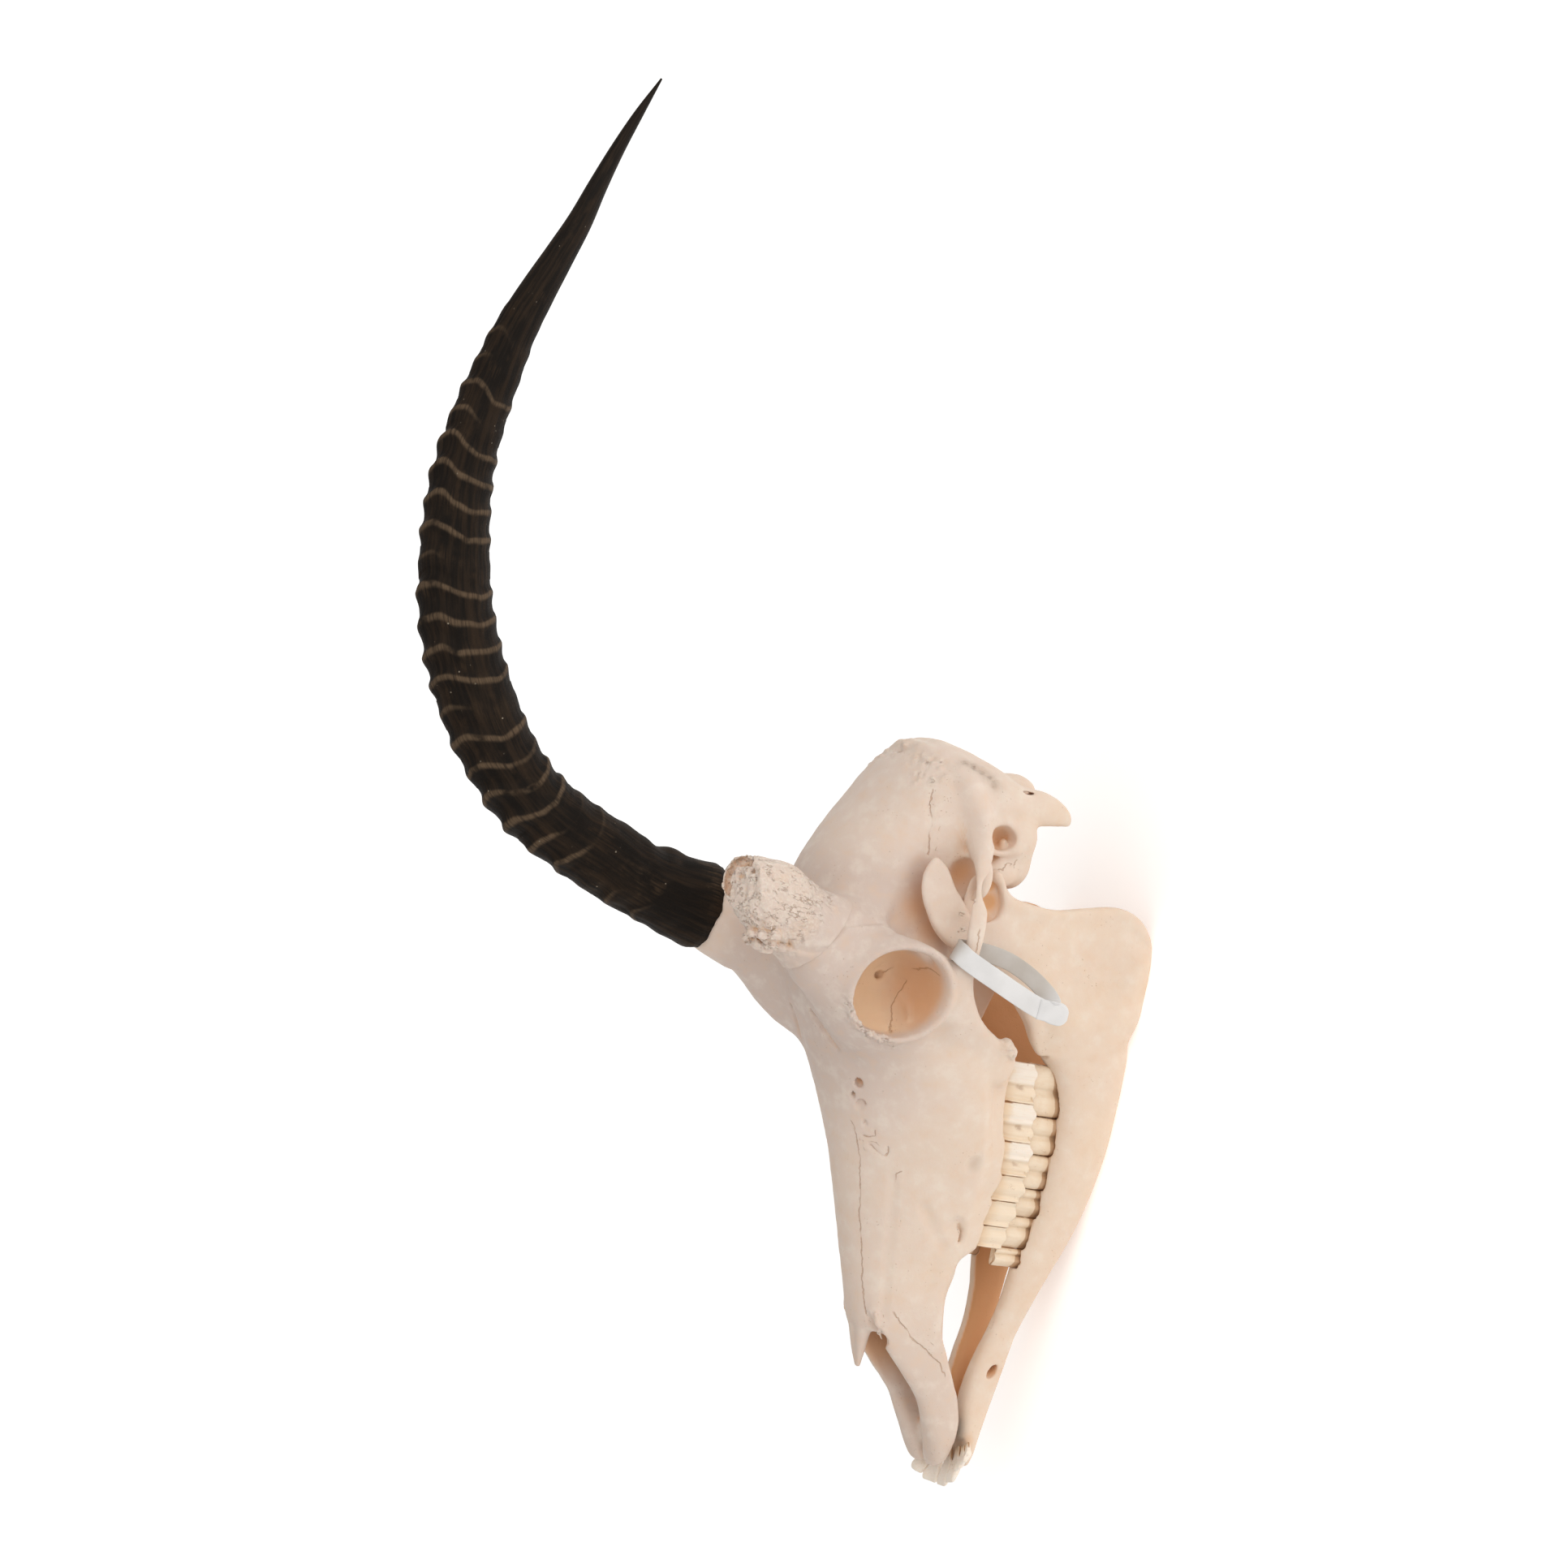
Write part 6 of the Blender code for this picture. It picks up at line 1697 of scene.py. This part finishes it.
class BoneSettings(bpy.types.PropertyGroup):
    step: FloatProperty(name="Grid step",
                        description="Size of the grid cells that the bone is worked on, in millimetres",
                        default=0.9, min=0.5, max=3.0)
    # Warm and cool bone: partly the bone's own tone, partly a painted tint of the light, warm low and cool
    # high
    warm: colour_property("Warm bone", "Bone low on the skull", (0.80, 0.64, 0.50))
    cool: colour_property("Cool bone", "Bone high on the skull", (0.75, 0.612, 0.522))
    # Shaded bone: painted shade on the forehead, round the horns and on the nose
    shaded_bone: colour_property("Dull bone", "Bone of the forehead and the nose", (0.62, 0.50, 0.435))
    pale: colour_property("Pale bone", "Chalky bone in clouds and crumbled patches", (0.85, 0.77, 0.67))
    # Tan: the bone's own clouds, and painted shade in shallow hollows
    tan: colour_property("Tan bone", "Bone in shallow hollows", (0.76, 0.53, 0.36))
    # Amber: painted shade in deep hollows, holes and slots and on inner faces, and partly real dirt in
    # creases
    amber_shade: colour_property("Amber bone", "Bone deep in hollows and on the jaw's inner faces",
                           (0.72, 0.395, 0.195))
    # Painted light on the orbits' upper walls
    painted_light_honey: colour_property("Honey bone", "Thin bone of the orbits' inner walls", (0.93, 0.71, 0.49))
    # Brown: real cracks, sutures, pores and dirt, and painted shade in tight creases and on the jaw's inner
    # faces
    brown: colour_property("Brown bone", "Cracks, sutures and dirt in creases", (0.45, 0.23, 0.11))
    dirt: colour_property("Dirt", "Grey smudges and specks", (0.40, 0.28, 0.20))
    stain: colour_property("Gum stain", "Brown line at the feet of the teeth", (0.52, 0.26, 0.085))


class TeethSettings(bpy.types.PropertyGroup):
    enamel: colour_property("Enamel", "Crowns of the teeth", (0.87, 0.73, 0.565))
    # White enamel: painted light on the upper molars' rear lobes and the incisors' crowns
    white: colour_property("White enamel", "Outer lobes of the upper molars", (0.90, 0.82, 0.73))
    root: colour_property("Root", "Feet of the teeth", (0.80, 0.61, 0.42))
    stain: colour_property("Stain", "Brown in the folds and at the gum", (0.36, 0.16, 0.05))


class HornSettings(bpy.types.PropertyGroup):
    black: colour_property("Black horn", "Most of the sheath", (0.0062, 0.0038, 0.0021))
    umber: colour_property("Brown horn", "Streaks along the sheath", (0.032, 0.018, 0.009))
    crest: colour_property("Worn crest", "Worn edges of the rings", (0.125, 0.082, 0.049))
    fleck: colour_property("Fleck", "Small pale flecks", (0.30, 0.25, 0.19))


class StrapSettings(bpy.types.PropertyGroup):
    white: colour_property("White plastic", "Most of the band", (0.76, 0.75, 0.745))
    grey: colour_property("Scuffed plastic", "Clouds and scuffs of the band", (0.65, 0.64, 0.63))
    # Dull plastic: painted shade on the stretch of the band next to the jaw
    shaded_plastic: colour_property("Dull plastic", "The stretch of the band next to the jaw", (0.47, 0.42, 0.365))


class StageSettings(bpy.types.PropertyGroup):
    floor: colour_property("Floor", "Colour of the floor", (0.95, 0.948, 0.945))
    key: FloatProperty(name="Key light", description="Strength of the soft light above", default=0.62,
                       min=0.0, max=10.0)
    fill: FloatProperty(name="Fill light", description="Strength of the soft light beside the camera",
                        default=0.81, min=0.0, max=10.0)
    sky: FloatProperty(name="Sky", description="Strength of the light from all round", default=0.50, min=0.0,
                       max=5.0)


# Stage

# Above level, and past a quarter turn of roll
CAMERA_RISE, CAMERA_TURN = math.radians(28), math.radians(10)
CAMERA_SPOT = (2204.11, 62.03, 1392.81)
CAMERA_LENS, CAMERA_SENSOR = 105.32, 36.0
FLOOR_SIDES = 64


def add_sun(name, spot, aim, softness, strength, colour):
    """A light that is the same everywhere, as wide in the sky as its softness."""
    data = bpy.data.lights.new(name, "SUN")
    data.angle, data.energy, data.color = softness, strength, colour
    lamp = bpy.data.objects.new(name, data)
    bpy.context.scene.collection.objects.link(lamp)
    way = Vector(aim) - Vector(spot)
    lamp.matrix_world = Matrix.Translation(spot) @ way.to_track_quat("-Z", "Y").to_matrix().to_4x4()


def make_stage(settings):
    """A round floor under the skull, a large light above, a fill beside the camera, and the camera, which
    looks down at the skull's left side with its picture turned a quarter turn, nose down."""
    scene = bpy.context.scene
    e, t = CAMERA_RISE, CAMERA_TURN
    ahead = np.array([-math.cos(e), 0, -math.sin(e)])
    back, up = np.array([0, 1.0, 0]), np.array([-math.sin(e), 0, math.cos(e)])
    right = back * math.sin(t) - up * math.cos(t)
    top = back * math.cos(t) + up * math.sin(t)
    data = bpy.data.cameras.new("Camera")
    data.lens, data.sensor_width, data.clip_end = CAMERA_LENS, CAMERA_SENSOR, 50
    camera = bpy.data.objects.new("Camera", data)
    scene.collection.objects.link(camera)
    spot = np.array(CAMERA_SPOT) * MM + ORIGIN
    turned = Matrix(np.column_stack([right, top, -ahead]).tolist()).to_4x4()
    camera.matrix_world = Matrix.Translation(spot.tolist()) @ turned
    scene.camera = camera
    a = circle(FLOOR_SIDES)
    reach = np.array([0.0001, 0.5, 1.5, 4.0, 12.0])[:, None]
    rings = np.stack([reach * np.cos(a), reach * np.sin(a), 0 * reach * a], -1)
    floor = bpy.data.meshes.new("floor")
    quads = lattice_faces(len(reach), FLOOR_SIDES)
    floor.from_pydata(rings.reshape(-1, 3).tolist(), [], quads.tolist() + [list(range(FLOOR_SIDES))])
    floor.update()
    item = bpy.data.objects.new("floor", floor)
    floor.materials.append(floor_paint(tuple(settings.floor)))
    scene.collection.objects.link(item)
    world = bpy.data.worlds.new("Soft white room")
    world.use_nodes = True
    sky = world.node_tree.nodes["Background"]
    sky.inputs["Color"].default_value = (1.0, 0.99, 0.98, 1.0)
    sky.inputs["Strength"].default_value = settings.sky
    scene.world = world
    aim = (0, -0.1, 0.12)
    add_sun("Key", (0.8, 0.05, 2.2), aim, math.radians(70), settings.key, (1.0, 0.985, 0.965))
    add_sun("Fill", (2.1, 1.1, 0.82), aim, math.radians(60), settings.fill, (1.0, 0.97, 0.93))
    scene.view_settings.view_transform = "Standard"


# Operators

class SKULL_OT_stage(bpy.types.Operator):
    """Add the floor, the lights and the camera"""
    bl_idname, bl_label = "skull.stage", "Stage"

    def execute(self, context):
        make_stage(context.scene.skull_stage)
        return {"FINISHED"}


class SKULL_OT_bone(bpy.types.Operator):
    """Add the cranium, its broken horn core and both halves of the jaw"""
    bl_idname, bl_label = "skull.bone", "Bone"

    def execute(self, context):
        settings = context.scene.skull_bone
        paint = bone_paint(settings)
        step = settings.step * 1
        make_cranium(step, paint)
        make_stump(paint)
        make_jaws(step, paint)
        return {"FINISHED"}


class SKULL_OT_teeth(bpy.types.Operator):
    """Add the cheek teeth and the incisors"""
    bl_idname, bl_label = "skull.teeth", "Teeth"

    def execute(self, context):
        paint = tooth_paint(context.scene.skull_teeth)
        make_cheek_teeth(paint)
        make_incisors(paint)
        return {"FINISHED"}


class SKULL_OT_horn(bpy.types.Operator):
    """Add the ringed horn sheath"""
    bl_idname, bl_label = "skull.horn", "Horn sheath"

    def execute(self, context):
        make_sheath(horn_paint(context.scene.skull_horn))
        return {"FINISHED"}


class SKULL_OT_strap(bpy.types.Operator):
    """Add the strap tag"""
    bl_idname, bl_label = "skull.strap", "Strap tag"

    def execute(self, context):
        make_strap(strap_paint(context.scene.skull_strap))
        return {"FINISHED"}


OPERATORS = (SKULL_OT_stage, SKULL_OT_bone, SKULL_OT_teeth, SKULL_OT_horn, SKULL_OT_strap)
SETTINGS = {"skull_bone": BoneSettings, "skull_teeth": TeethSettings, "skull_horn": HornSettings,
            "skull_strap": StrapSettings,
            "skull_stage": StageSettings}


class SKULL_PT_pieces(bpy.types.Panel):
    """Lists the pieces and their settings"""
    bl_label, bl_space_type, bl_region_type, bl_category = "Antelope skull", "VIEW_3D", "UI", "Skull"

    def draw(self, context):
        for operator in OPERATORS:
            self.layout.operator(operator.bl_idname)
        for name in SETTINGS:
            settings = getattr(context.scene, name)
            column = self.layout.column()
            for field in settings.__annotations__:
                column.prop(settings, field)


def register():
    for made in (*SETTINGS.values(), *OPERATORS, SKULL_PT_pieces):
        bpy.utils.register_class(made)
    for name, group in SETTINGS.items():
        setattr(bpy.types.Scene, name, PointerProperty(type=group))


def unregister():
    for name in SETTINGS:
        delattr(bpy.types.Scene, name)
    for made in reversed((*SETTINGS.values(), *OPERATORS, SKULL_PT_pieces)):
        bpy.utils.unregister_class(made)


def main():
    register()
    bpy.ops.skull.stage()
    bpy.ops.skull.bone()
    bpy.ops.skull.teeth()
    bpy.ops.skull.horn()
    bpy.ops.skull.strap()


if __name__ == "__main__":
    main()
